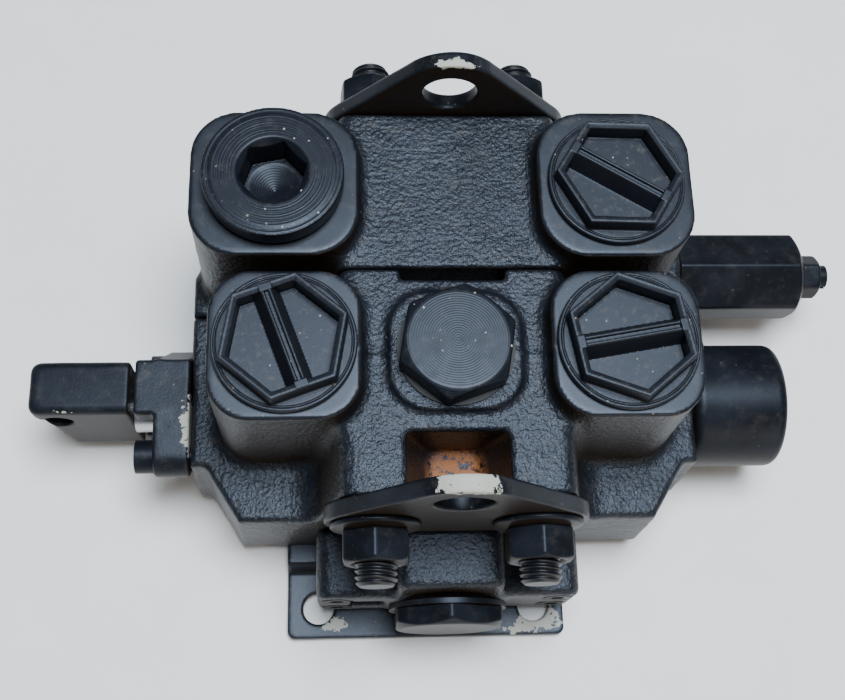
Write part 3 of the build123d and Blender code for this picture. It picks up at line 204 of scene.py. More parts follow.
def surface_net(field, low, high, step):
    """Surface where a distance field is zero.

    Each cell that the surface crosses gets one point, the mean of the crossings on its edges. Each crossed
    grid edge gets one quad, through the four cells round it.
    """
    axes = [np.arange(a - 1.6 * step, b + 2.6 * step, step, dtype=np.float32) for a, b in zip(low, high)]
    values = field(*np.meshgrid(*axes, indexing="ij", sparse=True))
    inside = values < 0
    total = sum(inside[i:inside.shape[0] - 1 + i, j:inside.shape[1] - 1 + j, k:inside.shape[2] - 1 + k]
                .astype(np.int8) for i, j, k in np.ndindex(2, 2, 2))
    cells = np.argwhere((total > 0) & (total < 8))
    place, count = np.zeros((len(cells), 3)), np.zeros(len(cells))
    for corner in np.ndindex(2, 2, 2):
        for axis in range(3):
            if corner[axis]:
                continue
            other = list(corner)
            other[axis] = 1
            a, b = values[tuple((cells + corner).T)], values[tuple((cells + other).T)]
            crossed = (a < 0) != (b < 0)
            share = np.where(crossed, a / np.where(crossed, a - b, 1), 0)
            point = np.tile(np.array(corner, float), (len(cells), 1))
            point[:, axis] = share
            place += point * crossed[:, None]
            count += crossed
    points = np.array([axis[0] for axis in axes]) + step * (cells + place / count[:, None])
    number = np.full([n - 1 for n in values.shape], -1)
    number[tuple(cells.T)] = np.arange(len(cells))
    quads = []
    for axis in range(3):
        first, second = (axis + 1) % 3, (axis + 2) % 3
        near = np.moveaxis(inside, (axis, first, second), (0, 1, 2))
        edges = np.argwhere(near[:-1, 1:-1, 1:-1] != near[1:, 1:-1, 1:-1]) + (0, 1, 1)
        outward = near[tuple(edges.T)]
        cell = np.moveaxis(number, (axis, first, second), (0, 1, 2))
        around = [cell[tuple((edges - (0, a, b)).T)] for a, b in ((0, 0), (1, 0), (1, 1), (0, 1))]
        ring = np.stack(around, 1)
        quads.append(np.where(outward[:, None], ring, ring[:, ::-1]))
    return points, np.concatenate(quads)


def field_normals(field, points, reach):
    """Outward unit normals, from differences of the field on both sides of each point."""
    slope = np.empty_like(points)
    for axis in range(3):
        shift = np.zeros(3)
        shift[axis] = reach
        slope[:, axis] = field(*(points + shift).T) - field(*(points - shift).T)
    return slope / np.maximum(np.linalg.norm(slope, axis=1), 1e-9)[:, None]


def field_piece(name, shapes, step, body, material, replaced=(), grain=(), machined=()):
    """Piece from distance fields, each listed as (field, low, high).

    Grain lists (size, height, seed) of the relief on its skin; it dies out towards the machined planes,
    listed as (axis, place).
    """
    all_points, all_faces, all_normals, count = [], [], [], 0
    for field, low, high in shapes:
        points, faces = surface_net(field, low, high, step)
        normals = field_normals(field, points, step * 0.4)
        rough = np.ones(len(points))
        for axis, place in machined:
            rough = rough * np.clip(np.abs(points[:, axis] - place) / step - 0.6, 0, 1)
        for size, height, seed in grain:
            points = points + normals * (rough * height * lattice_noise(points, size, seed))[:, None]
        all_points.append(np.clip(points, low, high))
        all_normals.append(normals)
        all_faces.append(faces + count)
        count += len(points)
    normals = None if grain else np.concatenate(all_normals)
    return make_object(name, np.concatenate(all_points), np.concatenate(all_faces), body, material,
                       replaced, normals)


def grid_faces(rows, columns):
    """Quads of a rows by columns grid of points, whose last column joins the first."""
    index = np.arange(rows * columns).reshape(rows, columns)
    index = np.concatenate([index, index[:, :1]], axis=1)
    corners = [index[:-1, :-1], index[:-1, 1:], index[1:, 1:], index[1:, :-1]]
    return np.stack(corners, -1).reshape(-1, 4)


def axis_points(axis, centre, along, radius, angle):
    """Points at a radius and angle round an axis through centre, at a place along it."""
    u, v = radius * np.cos(angle), radius * np.sin(angle)
    if axis == "x":
        return np.stack([along + 0 * u, centre[0] + u, centre[1] + v], -1)
    if axis == "y":
        return np.stack([centre[0] + v, along + 0 * u, centre[1] + u], -1)
    return np.stack([centre[0] + u, centre[1] + v, along + 0 * u], -1)


def fill_profile(profile, spacing):
    """Stations along a profile of (place, radius) corners, none further apart than spacing."""
    parts = []
    for (s0, r0), (s1, r1) in zip(profile[:-1], profile[1:]):
        count = max(1, int(math.ceil(math.hypot(s1 - s0, r1 - r0) / spacing)))
        share = np.arange(count)[:, None] / count
        parts.append(np.array([[s0, r0]]) + share * np.array([[s1 - s0, r1 - r0]]))
    return np.concatenate(parts + [np.array([profile[-1]], float)])


def turned_points(axis, centre, profile, segments, spacing):
    """Surface of revolution: each station of the profile goes round the axis at its own radius."""
    stations = fill_profile(profile, spacing)
    angle = np.linspace(0, 2 * math.pi, segments, endpoint=False)[None, :]
    radius = stations[:, 1:2] + 0 * angle
    points = axis_points(axis, centre, stations[:, :1], radius, angle).reshape(-1, 3)
    return points, grid_faces(len(stations), segments)


# ---------------------------- shader expressions
class Socket:
    """Wraps one output so that arithmetic on it adds Math nodes to its tree."""

    def __init__(self, tree, output):
        self.tree = tree
        self.output = output

    def math(self, operation, *values):
        """Math node of this output and the values."""
        return self.tree.node("ShaderNodeMath", {"operation": operation},
                              dict(enumerate((self,) + values)))

    def __add__(self, other):
        return self.math("ADD", other)

    def __mul__(self, other):
        return self.math("MULTIPLY", other)

    def __sub__(self, other):
        return self.math("SUBTRACT", other)

    def __rsub__(self, other):
        return (self * -1.0) + other

    __radd__ = __add__
    __rmul__ = __mul__

    def step(self, start, end):
        """0 below start, 1 above end, smooth between; start may be the larger."""
        return self.tree.node("ShaderNodeMapRange", {"interpolation_type": "SMOOTHSTEP"},
                              {"Value": self, "From Min": start, "From Max": end})


class Tree:
    """Node tree of one material, with helpers named for what they paint."""

    def __init__(self, name):
        self.material = bpy.data.materials.new(name)
        self.material.use_nodes = True
        self.nodes = self.material.node_tree.nodes
        self.links = self.material.node_tree.links
        self.shader = self.nodes["Principled BSDF"]
        self.place = self.node("ShaderNodeTexCoord", {}, {}, "Object")
        self.x, self.y, self.z = (self.node("ShaderNodeSeparateXYZ", {}, {0: self.place}, axis)
                                  for axis in "XYZ")

    def node(self, kind, settings, inputs, output=0):
        """Adds a node: its settings first, then the values or links of its sockets."""
        node = self.nodes.new(kind)
        for key, value in settings.items():
            setattr(node, key, value)
        for key, value in inputs.items():
            if isinstance(value, Socket):
                self.links.new(value.output, node.inputs[key])
            else:
                node.inputs[key].default_value = value
        return Socket(self, node.outputs[output])

    def noise(self, per_metre, detail=2.0, rough=0.5, stretch=None):
        """Noise from 0 to 1; stretch scales the place along each axis first."""
        place = self.place
        if stretch is not None:
            place = self.node("ShaderNodeMapping", {}, {"Vector": place, "Scale": stretch})
        return self.node("ShaderNodeTexNoise", {},
                         {"Vector": place, "Scale": per_metre, "Detail": detail, "Roughness": rough}, "Fac")

    def specks(self, per_metre, size):
        """1 on ragged crumbs, in about three of ten cells of a Voronoi pattern."""
        share = 0.3
        cells = {"Vector": self.place, "Scale": per_metre}
        far = self.node("ShaderNodeTexVoronoi", {}, cells, "Distance")
        colour = self.node("ShaderNodeTexVoronoi", {}, cells, "Color")
        lot = self.node("ShaderNodeSeparateXYZ", {}, {0: colour})
        ragged = far + self.noise(per_metre * 4.0, 2.0) * size * 1.6
        return ragged.step(size * 1.75, size * 1.3) * lot.step(share, share * 0.9)

    def flecks(self, per_metre, size, patch_per_metre, patch):
        """1 on crumbs that lie in patches on what looks up."""
        return (self.specks(per_metre, size) * self.noise(patch_per_metre).step(*patch)
                * self.up().step(0.3, 0.8))

    def dust_film(self, up, per_metre, rough, patch, amount):
        """Share of thin dust, in ragged patches on what looks up."""
        return self.up().step(*up) * self.noise(per_metre, 6.0, rough).step(*patch) * amount

    def patch(self, centre, radii, rag=1.0, per_metre=420.0):
        """1 inside an ellipsoid in metres whose outline is made ragged by noise."""
        away = self.node("ShaderNodeVectorMath", {"operation": "SUBTRACT"}, {0: self.place, 1: centre})
        away = self.node("ShaderNodeVectorMath", {"operation": "DIVIDE"}, {0: away, 1: radii})
        away = self.node("ShaderNodeVectorMath", {"operation": "LENGTH"}, {0: away}, "Value")
        return (away + (self.noise(per_metre, 4.0, 0.65) - 0.5) * (4 * rag)).step(1.05, 0.95)

    def up(self):
        """Share of a face that looks up."""
        normal = self.node("ShaderNodeNewGeometry", {}, {}, "Normal")
        return self.node("ShaderNodeSeparateXYZ", {}, {0: normal}, "Z")

    def near(self, point, radius, soft=0.5):
        """1 within a radius of a point in metres, fading to 0."""
        ends = {0: self.place, 1: point}
        away = self.node("ShaderNodeVectorMath", {"operation": "DISTANCE"}, ends, "Value")
        return away.step(radius, radius * (1 - soft))

    def mix(self, factor, a, b):
        """Colour a where factor is 0 and b where it is 1."""
        inputs = {"Factor": factor, 6: a if isinstance(a, Socket) else (*a, 1),
                  7: b if isinstance(b, Socket) else (*b, 1)}
        return self.node("ShaderNodeMix", {"data_type": "RGBA"}, inputs, 2)

    def bump(self, height, distance, strength=1.0, over=None):
        """Normal bent by a height, in metres for a height of 1, over another bent normal."""
        inputs = {"Height": height, "Distance": distance, "Strength": strength}
        if over is not None:
            inputs["Normal"] = over
        return self.node("ShaderNodeBump", {}, inputs)

    def finish(self, **sockets):
        """Sets the shader's sockets, by name with underscores for spaces, and returns the material."""
        for key, value in sockets.items():
            socket = self.shader.inputs[key.replace("_", " ")]
            if isinstance(value, Socket):
                self.links.new(value.output, socket)
            else:
                socket.default_value = value
        return self.material


# ---------------------------- materials
PAINT_DARK, PAINT_PALE = (0.0035, 0.0042, 0.0062), (0.0095, 0.0112, 0.0155)
SKY_TINT = (0.78, 0.87, 1.0, 1.0)
DUST, CREAM, RUST = (0.26, 0.22, 0.17), (0.50, 0.47, 0.36), (0.23, 0.075, 0.02)
PALE_RUST = (0.32, 0.13, 0.045)
BARE = (0.30, 0.31, 0.29)
# painted light: warm brown standing in for floor bounce on faces that do not look up
PAINTED_FLOOR_BOUNCE = (0.015, 0.009, 0.004)
PLASTIC_DARK, PLASTIC_PALE = (0.005, 0.006, 0.0085), (0.013, 0.0145, 0.019)
PLASTIC_CRUMBS, STEEL_CRUMBS = (0.34, 0.29, 0.22), (0.5, 0.45, 0.34)
STEEL_DARK, STEEL_PALE = (0.42, 0.42, 0.43), (0.62, 0.62, 0.63)
RUBBER_DARK, RUBBER_PALE = (0.012, 0.012, 0.012), (0.03, 0.03, 0.03)


def black_paint(name, grain_height, grain_size, gloss, dust, shine, spots=(), rust=None,
                flat_above=None, scored=False):
    """Black paint: sand-cast grain under orange peel, painted warm floor bounce on the sides, dust on what
    looks up, chips at the listed spots.
    """
    tree = Tree(name)
    patches = tree.noise(70.0, 4.0, 0.6)
    fine = tree.noise(3200.0, 2.0, 0.6)
    colour = tree.mix(patches.step(0.35, 0.7), PAINT_DARK, PAINT_PALE)
    # painted light: faces that do not look up get a warm brown, standing in for bounce light from the floor
    colour = tree.mix(tree.up().step(0.6, 0.1), colour, PAINTED_FLOOR_BOUNCE)
    dusty = tree.dust_film((0.55, 0.95), 240.0, 0.7, (0.48, 0.8), 0.30 * dust)
    colour = tree.mix(dusty, colour, DUST)
    flecks = tree.flecks(420.0, 0.16, 60.0, (0.42, 0.62))
    colour = tree.mix(flecks * dust, colour, DUST)
    grain = tree.noise(grain_size, 3.0, 0.55)
    relief = grain
    if flat_above is not None:
        relief = grain * tree.z.step(flat_above, flat_above - 0.0006)
    roughness = gloss + 0.16 * fine + 0.25 * dusty
    for centre, radii, rag in spots:
        chip = tree.patch(centre, radii, rag)
        colour = tree.mix(chip, colour, tree.mix(fine, CREAM, BARE))
        roughness = roughness + 0.15 * chip
    if rust is not None:
        stain = tree.near(rust, 0.011, 0.5) * tree.noise(380.0, 5.0, 0.7).step(0.40, 0.52)
        colour = tree.mix(stain, colour, tree.mix(fine, RUST, PALE_RUST))
        roughness = roughness + 0.3 * stain
    peel = tree.bump(fine, 0.00004, 0.5)
    if scored:
        lines = tree.noise(1500.0, 2.0, 0.6, (1.0, 0.012, 0.012)) * tree.patch(*SCORED_AREA)
        peel = tree.bump(lines, 0.00025, 0.8, peel)
    normal = tree.bump(relief, grain_height, 1.0, peel)
    return tree.finish(Base_Color=colour, Roughness=roughness, Normal=normal, Specular_IOR_Level=shine,
                       Specular_Tint=SKY_TINT)


def moulded_plastic(name):
    """Black moulded plastic with a faint flow pattern and dust in its corners."""
    tree = Tree(name)
    flow = tree.noise(120.0, 5.0, 0.6)
    dusty = tree.dust_film((0.7, 0.98), 420.0, 0.75, (0.5, 0.85), 0.34)
    colour = tree.mix(flow, PLASTIC_DARK, PLASTIC_PALE)
    colour = tree.mix(dusty, colour, DUST)
    flecks = tree.flecks(520.0, 0.15, 90.0, (0.4, 0.6))
    colour = tree.mix(flecks, colour, PLASTIC_CRUMBS)
    fine = tree.noise(2600.0, 3.0, 0.6)
    roughness = 0.34 + 0.2 * fine + 0.2 * dusty
    return tree.finish(Base_Color=colour, Roughness=roughness, Normal=tree.bump(fine, 0.00005, 0.5),
                       Specular_IOR_Level=0.30, Specular_Tint=SKY_TINT)


def turned_steel(name, centre):
    """Painted steel that keeps the rings of its turning, round a centre in metres."""
    tree = Tree(name)
    from_centre = {"X": tree.x - centre[0], "Y": tree.y - centre[1], "Z": 0.0}
    flat = tree.node("ShaderNodeCombineXYZ", {}, from_centre)
    away = tree.node("ShaderNodeVectorMath", {"operation": "LENGTH"}, {0: flat}, "Value")
    rings = (away * 9000.0).math("SINE")
    uneven = tree.noise(260.0, 4.0, 0.6)
    colour = tree.mix(uneven, PAINT_DARK, PAINT_PALE)
    dusty = tree.dust_film((0.7, 0.98), 300.0, 0.75, (0.5, 0.8), 0.12)
    colour = tree.mix(dusty, colour, DUST)
    flecks = tree.flecks(420.0, 0.16, 60.0, (0.42, 0.62))
    colour = tree.mix(flecks, colour, STEEL_CRUMBS)
    normal = tree.bump(rings * uneven, 0.00002, 0.8)
    return tree.finish(Base_Color=colour, Roughness=0.30 + 0.16 * uneven + 0.2 * dusty, Normal=normal,
                       Specular_IOR_Level=0.24, Specular_Tint=SKY_TINT)


def ground_steel(name):
    """Ground steel with fine streaks along X."""
    tree = Tree(name)
    streaks = tree.noise(900.0, 3.0, 0.6, (0.03, 1.0, 1.0))
    colour = tree.mix(streaks, STEEL_DARK, STEEL_PALE)
    return tree.finish(Base_Color=colour, Roughness=0.22 + 0.2 * streaks, Metallic=1.0,
                       Normal=tree.bump(streaks, 0.00001, 0.4))


def seal_rubber(name):
    """Dull black rubber."""
    tree = Tree(name)
    fine = tree.noise(2400.0, 3.0, 0.6)
    colour = tree.mix(fine, RUBBER_DARK, RUBBER_PALE)
    return tree.finish(Base_Color=colour, Roughness=0.6 + 0.2 * fine, Normal=tree.bump(fine, 0.00003, 0.6))


def thread_paint(name):
    """Plain, fairly dull black paint on the threads."""
    tree = Tree(name)
    return tree.finish(Base_Color=(*PAINT_DARK, 1), Roughness=0.42,
                       Normal=tree.bump(tree.noise(2500.0), 0.00003, 0.5))


def metres(x, y, z):
    """Place in metres, as shaders take it, from millimetres."""
    return (x * MM, y * MM, z * MM)


EYE_FRONT, EYE_REAR = low_high("eye_plate_front"), low_high("eye_plate_rear")
EYE_TOP = EYE_FRONT[1][2]
FOOT_LOW, FOOT_HIGH = low_high("foot_front")
CHIP_Z = FOOT_LOW[2] + 4

# worn spots: centre and half-sizes of an ellipsoid in metres, how ragged its outline is, and for the
# scored area the scale of that raggedness too
SCORED_AREA = (metres(MID_X + 16, 36, NECK_Z), (0.013, 0.022, 0.005), 0.4, 200.0)
PLATE_CHIPS = [(metres(MID_X - 1, EYE_FRONT[0][1] + 2.5, EYE_TOP), (0.012, 0.004, 0.0024), 0.9),
               (metres(MID_X + 1, EYE_REAR[1][1] - 5.0, EYE_TOP), (0.015, 0.0022, 0.0013), 0.7)]
FOOT_CHIPS = [(metres(FOOT_HIGH[0] - 8, FOOT_LOW[1] + 5, CHIP_Z), (0.006, 0.0035, 0.003), 1.0),
              (metres(FOOT_HIGH[0] - 15, FOOT_LOW[1] + 2, CHIP_Z), (0.005, 0.0015, 0.002), 1.0),
              (metres(FOOT_LOW[0] + 15, FOOT_LOW[1] + 4, CHIP_Z), (0.003, 0.0022, 0.002), 0.9)]
TONGUE_CHIPS = [(metres(-111, -23, 45), (0.004, 0.0008, 0.001), 0.8)]
COVER_CHIPS = [(metres(LEFT_X, -27, 42), (0.0022, 0.008, 0.006), 0.8)]
RUST_SPOT = metres(MID_X + 1, FRONT_Y + 10, NECK_Z - 20)

casting_paint = black_paint("casting_paint", 0.0005, 760.0, 0.33, 0.4, 0.40, rust=RUST_SPOT,
                            flat_above=(PORT_Z - 0.5) * MM, scored=True)
plate_paint = black_paint("plate_paint", 0.00004, 1500.0, 0.32, 0.5, 0.26, PLATE_CHIPS)
foot_paint = black_paint("foot_paint", 0.00004, 1300.0, 0.34, 0.5, 0.42, FOOT_CHIPS)
hardware_paint = black_paint("hardware_paint", 0.00002, 1500.0, 0.32, 0.3, 0.18)
tongue_paint = black_paint("tongue_paint", 0.00005, 1300.0, 0.36, 0.3, 0.20, TONGUE_CHIPS)
cover_paint = black_paint("cover_paint", 0.00006, 1200.0, 0.36, 0.4, 0.30, COVER_CHIPS)
plug_plastic = moulded_plastic("plug_plastic")
socket_plug_steel = turned_steel("socket_plug_steel", (SOCKET_PLUG[0] * MM, SOCKET_PLUG[1] * MM))
check_plug_steel = turned_steel("check_plug_steel", (CHECK[0] * MM, CHECK[1] * MM))
steel = ground_steel("ground_steel")
rubber = seal_rubber("seal_rubber")
thread_black = thread_paint("thread_black")


# ---------------------------- castings
NECK_TOP_HALF, NECK_BASE_HALF = 32.0, 40.0
BOSS_BLEND = 4.0
CAST_STEP = 0.85        # grid step of the two big castings
COVER_STEP = 0.7
FLANK_BLEND = 8.0       # hollow round between the neck and the shoulders
PORT_HOLE_R = 16.2
POCKET_DEEP, POCKET_BACK = 22.0, 17.7
POCKET_HALF, POCKET_NARROWS = 14.3, 7.3
SPOOL_BOSS, INLET_BOSS, OUTLET_BOSS = (42.0, 43.0, 12.0), (48.0, 45.0, 14.0), (45.0, 46.0, 14.0)
NOTCH_HALF, NOTCH_DEEP, NOTCH_BACK = 15.0, 12.0, 3.4
COVER_SCREW_X, COVER_SCREW_Z = 33.8, 6.5


def neck_field(x, y, z, y_low, y_high):
    """Raised middle whose sides lean in as they rise."""
    lean = (NECK_BASE_HALF - NECK_TOP_HALF) / (NECK_Z - SHOULDER_Z)
    half = NECK_TOP_HALF + (NECK_Z - z) * lean
    side = (np.abs(x - MID_X) - half) / math.hypot(1, lean)
    return smooth_max(smooth_max(side, z - NECK_Z, 4.0), between(y, y_low, y_high), 1.0)


def boss_field(x, y, z, centre, long_x, long_y, corner):
    """Port boss with rounded upright corners, slightly wider at its foot."""
    flare = np.maximum(PORT_Z - 6 - z, 0) * 0.02
    wall = rectangle(x, y, centre, long_x / 2 + flare, long_y / 2 + flare, corner)
    return smooth_max(wall, z - PORT_Z, 1.0)


def step_outline(x, y):
    """Plan of the spool section: full width, then a small step and a slanting front corner."""
    corner_y, inner, front = FRONT_Y + 17.0, HALF - 4.7, HALF - 15.3
    full = rectangle(x, y, (MID_X, (corner_y + JOINT_Y) / 2), HALF, (JOINT_Y - corner_y) / 2, 1.5)
    nose = convex(np.abs(x - MID_X), y, [(-1, FRONT_Y), (front, FRONT_Y), (inner, corner_y),
                                         (inner, JOINT_Y), (-1, JOINT_Y)])
    return smooth_min(full, nose, 1.5)


def spool_section_field(x, y, z):
    """Stepped body under a leaning neck, two port bosses and a pad, less the pocket and the notch."""
    draft = np.clip((JOINT_Y - 12 - y) / 12, 0, 1) * (z - SPOOL_Z) * 0.045
    body = smooth_max(step_outline(x, y) + draft, between(z, SEAT_Z, SHOULDER_Z), 2.2)
    body = smooth_min(body, neck_field(x, y, z, FRONT_Y, JOINT_Y), FLANK_BLEND)
    for centre in (LEFT_PLUG, RIGHT_PLUG):
        body = smooth_min(body, boss_field(x, y, z, centre, *SPOOL_BOSS), BOSS_BLEND)
    pad = smooth_max(rectangle(x, y, CHECK, 18.5, 17.25, 11.0), between(z, NECK_Z - 6, PAD_Z), 1.0)
    body = smooth_min(body, pad, 2.5)
    ridge = 0.45 * np.exp(-((y - SPOOL_Y + 1.2) / 0.55) ** 2) * (np.abs(x - MID_X) > 17)
    body = body - ridge * (z > NECK_Z - 3)
    slant = (NECK_Z - z) / POCKET_DEEP
    pocket = np.abs(x - MID_X) - POCKET_HALF + POCKET_NARROWS * np.clip(slant, 0, 1) ** 1.5
    pocket = smooth_max(pocket, NECK_Z - POCKET_DEEP - z, 2.5)
    pocket = smooth_max(pocket, y - FRONT_Y - POCKET_BACK, 2.0)
    body = cut(body, pocket, 1.6)
    notch = rectangle(x, z, (MID_X, NECK_Z), NOTCH_HALF, NOTCH_DEEP, 1.0)
    body = cut(body, smooth_max(notch, JOINT_Y - NOTCH_BACK - y, 0.8), 1.2)
    for limit in (z - PORT_Z, SEAT_Z - z, y - JOINT_Y, FRONT_Y - y, x - RIGHT_X, LEFT_X - x):
        body = smooth_max(body, limit, 0.7)
    return body


def inlet_section_field(x, y, z):
    """Bevelled body with a shelf on its left, under the neck, two port bosses and the open inlet port."""
    waist_y, waist, bevel = JOINT_Y + 13.0, HALF - 10.5, 12.0
    main = convex(x, y, [(MID_X - waist, JOINT_Y), (RIGHT_X, JOINT_Y), (RIGHT_X, REAR_Y - bevel),
                         (RIGHT_X - bevel, REAR_Y), (MID_X - waist + bevel, REAR_Y),
                         (MID_X - waist, REAR_Y - bevel)])
    shelf = convex(x, y, [(LEFT_X, JOINT_Y), (MID_X, JOINT_Y), (MID_X, waist_y + 10.5),
                          (MID_X - waist, waist_y + 10.5), (LEFT_X, waist_y)])
    body = smooth_max(smooth_min(main, shelf, 1.5), between(z, SEAT_Z, SHOULDER_Z), 2.2)
    body = smooth_min(body, neck_field(x, y, z, JOINT_Y, REAR_Y), FLANK_BLEND)
    body = smooth_min(body, boss_field(x, y, z, SOCKET_PLUG, *INLET_BOSS), BOSS_BLEND)
    body = smooth_min(body, boss_field(x, y, z, OUTLET_PLUG, *OUTLET_BOSS), BOSS_BLEND)
    body = cut(body, np.maximum(disc(x, y, SOCKET_PLUG, PORT_HOLE_R), PORT_Z - 14.0 - z), 0.3)
    for limit in (z - PORT_Z, SEAT_Z - z, y - REAR_Y, JOINT_Y - y, x - RIGHT_X, LEFT_X - x):
        body = smooth_max(body, limit, 0.7)
    return body


def end_cover_field(x, y, z):
    """Low block with a middle boss that leans back as it rises, a small pocket and four screw wells."""
    low_z, face_y = COVER_LOW[2], COVER_LOW[1] + 1.0
    half = (COVER_HIGH[0] - COVER_LOW[0]) / 2
    block = rectangle(x, z, (MID_X, low_z + 14.0), half, 14.0, 5.0)
    body = smooth_max(block, between(y, face_y, FRONT_Y), 3.0)
    lean = np.maximum(z - 30.0, 0) * 0.12
    boss = smooth_max(rectangle(x, z, (MID_X, low_z + 20.0), 16.0, 20.0, 4.0),
                      between(y, COVER_LOW[1] + lean, FRONT_Y), 2.5)
    body = smooth_min(body, boss, 4.0)
    pocket = rectangle(x, z, (MID_X - 24.5, low_z + 14), 5.0, 6.0, 2.0)
    body = cut(body, smooth_max(pocket, y - face_y - 2.5, 0.5), 0.5)
    for side_x in (-COVER_SCREW_X, COVER_SCREW_X):
        for rise in (-COVER_SCREW_Z, COVER_SCREW_Z):
            well = disc(x, z, (MID_X + side_x, low_z + 14 + rise), 4.5)
            body = cut(body, smooth_max(well, y - face_y - 5.0, 0.4), 0.5)
    return smooth_max(smooth_max(body, y - FRONT_Y, 0.5), COVER_LOW[1] - y, 0.5)


CAST_GRAIN = [(2.4, 0.07, 3), (5.0, 0.07, 4), (16.0, 0.22, 5)]     # size, height and seed
field_piece("spool_section_casting", [(spool_section_field, SPOOL_LOW, SPOOL_HIGH)], CAST_STEP, "housing",
            casting_paint, ["spool_section"], CAST_GRAIN,
            [(2, PORT_Z), (2, PAD_Z), (2, SEAT_Z), (1, JOINT_Y), (0, LEFT_X), (0, RIGHT_X)])
field_piece("inlet_section_casting", [(inlet_section_field, INLET_LOW, INLET_HIGH)], CAST_STEP, "housing",
            casting_paint, ["inlet_section"], CAST_GRAIN,
            [(2, PORT_Z), (2, SEAT_Z), (1, JOINT_Y), (0, LEFT_X), (0, RIGHT_X)])
field_piece("end_cover_casting", [(end_cover_field, COVER_LOW, COVER_HIGH)], COVER_STEP, "housing",
            casting_paint, ["end_cover"], [(2.5, 0.07, 7)],
            [(1, FRONT_Y), (1, COVER_LOW[1])])


# ---------------------------- hardware
FINE, PLUG_STEP, PLATE_STEP, SHEET_STEP, LOCKNUT_STEP, THREAD_STEP = 0.42, 0.36, 0.5, 0.6, 0.35, 0.24
FLANGE_R = 20.0         # flange of every port plug
SHANK_R = 15.85
PLASTIC_HEX, SOCKET_HEX, CHECK_HEX, END_HEX = 32.0, 17.0, 30.0, 32.0
NUT_HEX, RELIEF_HEX, LOCKNUT_HEX = 18.0, 26.0, 13.0
DIAGONAL = 1.414        # makes a distance out of a slope of one in one
CONE_SLOPE = 1.732      # cone of 30 degrees to the face


def hex_head(u, v, w, centre, across, turn, seat, top, face_share=0.95):
    """Hexagon from seat to top whose outer end is turned down to a 30 degree cone and a round face."""
    way = 1 if top > seat else -1
    drop = (top - w) * way
    cone = (np.hypot(u - centre[0], v - centre[1]) - across / 2 * face_share - CONE_SLOPE * drop) / 2
    blunt = disc(u, v, centre, across / 2 / math.cos(math.pi / 6) * 0.985)
    sides = smooth_max(hexagon(u, v, centre, across, turn), blunt, 0.5)
    return smooth_max(smooth_max(sides, cone, 0.5), between(w, min(seat, top), max(seat, top)), 0.4)


def turned_frame(x, y, centre, turn):
    """Coordinates along and across a line through centre at an angle."""
    c, s = math.cos(math.radians(turn)), math.sin(math.radians(turn))
    return (x - centre[0]) * c + (y - centre[1]) * s, (y - centre[1]) * c - (x - centre[0]) * s


def plastic_plug(name, centre, hex_turn, bar_turn):
    """Moulded plug: flange with a rim band, hexagonal wall with a raised lip, and a grooved cross bar."""
    top, floor = PLUG_TOP_Z, PORT_Z + 2.0

    def field(x, y, z):
        away = np.hypot(x - centre[0], y - centre[1])
        flange = smooth_max(away - FLANGE_R, between(z, PORT_Z, floor), 0.7)
        flange = cut(flange, np.maximum(np.abs(away - 18.7) - 0.25, floor - 0.25 - z), 0.3)
        six = hexagon(x, y, centre, PLASTIC_HEX, hex_turn)
        wall = smooth_max(six, between(z, PORT_Z + 0.3, top), 0.6)
        wall = smooth_max(wall, z - top + 0.55 * np.clip(-0.9 - six, 0, 1), 0.3)
        shape = smooth_min(flange, wall, 0.5)
        shape = cut(shape, np.maximum(six + 2.2, floor - 1.0 - z), 0.4)
        along, side = turned_frame(x, y, centre, bar_turn)
        share = np.clip((z - floor + 1.5) / 6.2, 0, 1)
        bar = smooth_max(np.abs(side) - 3.8 + 2.4 * share, np.maximum(z - top + 0.3, six + 1.0), 0.4)
        bar = np.maximum(bar, PORT_Z - z)
        bar = cut(bar, np.maximum(np.abs(side) - 0.55, top - 1.2 - z), 0.4)
        block = smooth_max(np.maximum(np.abs(side) - 1.9, between(np.abs(along), 13.4, 15.7)),
                           between(z, floor, top), 0.3)
        return np.minimum(np.minimum(shape, bar), block)

    low = np.array([*centre[:2], PORT_Z]) - (20, 20, 0)
    high = np.array([*centre[:2], top]) + (20, 20, 0)
    field_piece(name + "_moulding", [(field, low, high)], PLUG_STEP, "housing",
                plug_plastic, [name])


plastic_plug("port_plug_left", LEFT_PLUG, 20.2, 110.2)
plastic_plug("port_plug_right", RIGHT_PLUG, -20.2, 9.8)
plastic_plug("outlet_port_plug", OUTLET_PLUG, -1.5, -31.5)


def socket_plug_field(x, y, z):
    """Turned disc with a step round its face, a hex socket and the drill point under it."""
    away = np.hypot(x - SOCKET_PLUG[0], y - SOCKET_PLUG[1])
    face = PLUG_TOP_Z - 0.25 * np.clip((away - 17.4) / 0.5, 0, 1) + 0.035 * np.sin(away * 6.4)
    shape = smooth_max(away - FLANGE_R, between(z, PORT_Z + 1.0, PLUG_TOP_Z), 1.0)
    shape = smooth_max(shape, z - face, 0.2)
    shank = np.maximum(away - SHANK_R, between(z, PORT_Z - 12.0, PORT_Z + 2.0))
    floor = PLUG_TOP_Z - 11.0
    socket = np.maximum(hexagon(x, y, SOCKET_PLUG, SOCKET_HEX, 12.0), floor - z)
    shape = cut(np.minimum(shape, shank), socket, 0.4)
    shape = cut(shape, np.maximum((away - 7.5 - (z - floor) * 2.5) / 2.7, z - floor - 0.5), 0.3)
    return cut(shape, (away - 10.4 - (z - PLUG_TOP_Z)) / DIAGONAL, 0.3)


field_piece("inlet_socket_plug_turned",
            [(socket_plug_field, SOCKET_PLUG * (1, 1, 0) + (-20, -20, PORT_Z - 13),
              SOCKET_PLUG * (1, 1, 0) + (20, 20, PLUG_TOP_Z))], FINE, "housing",
            socket_plug_steel, ["inlet_socket_plug"])

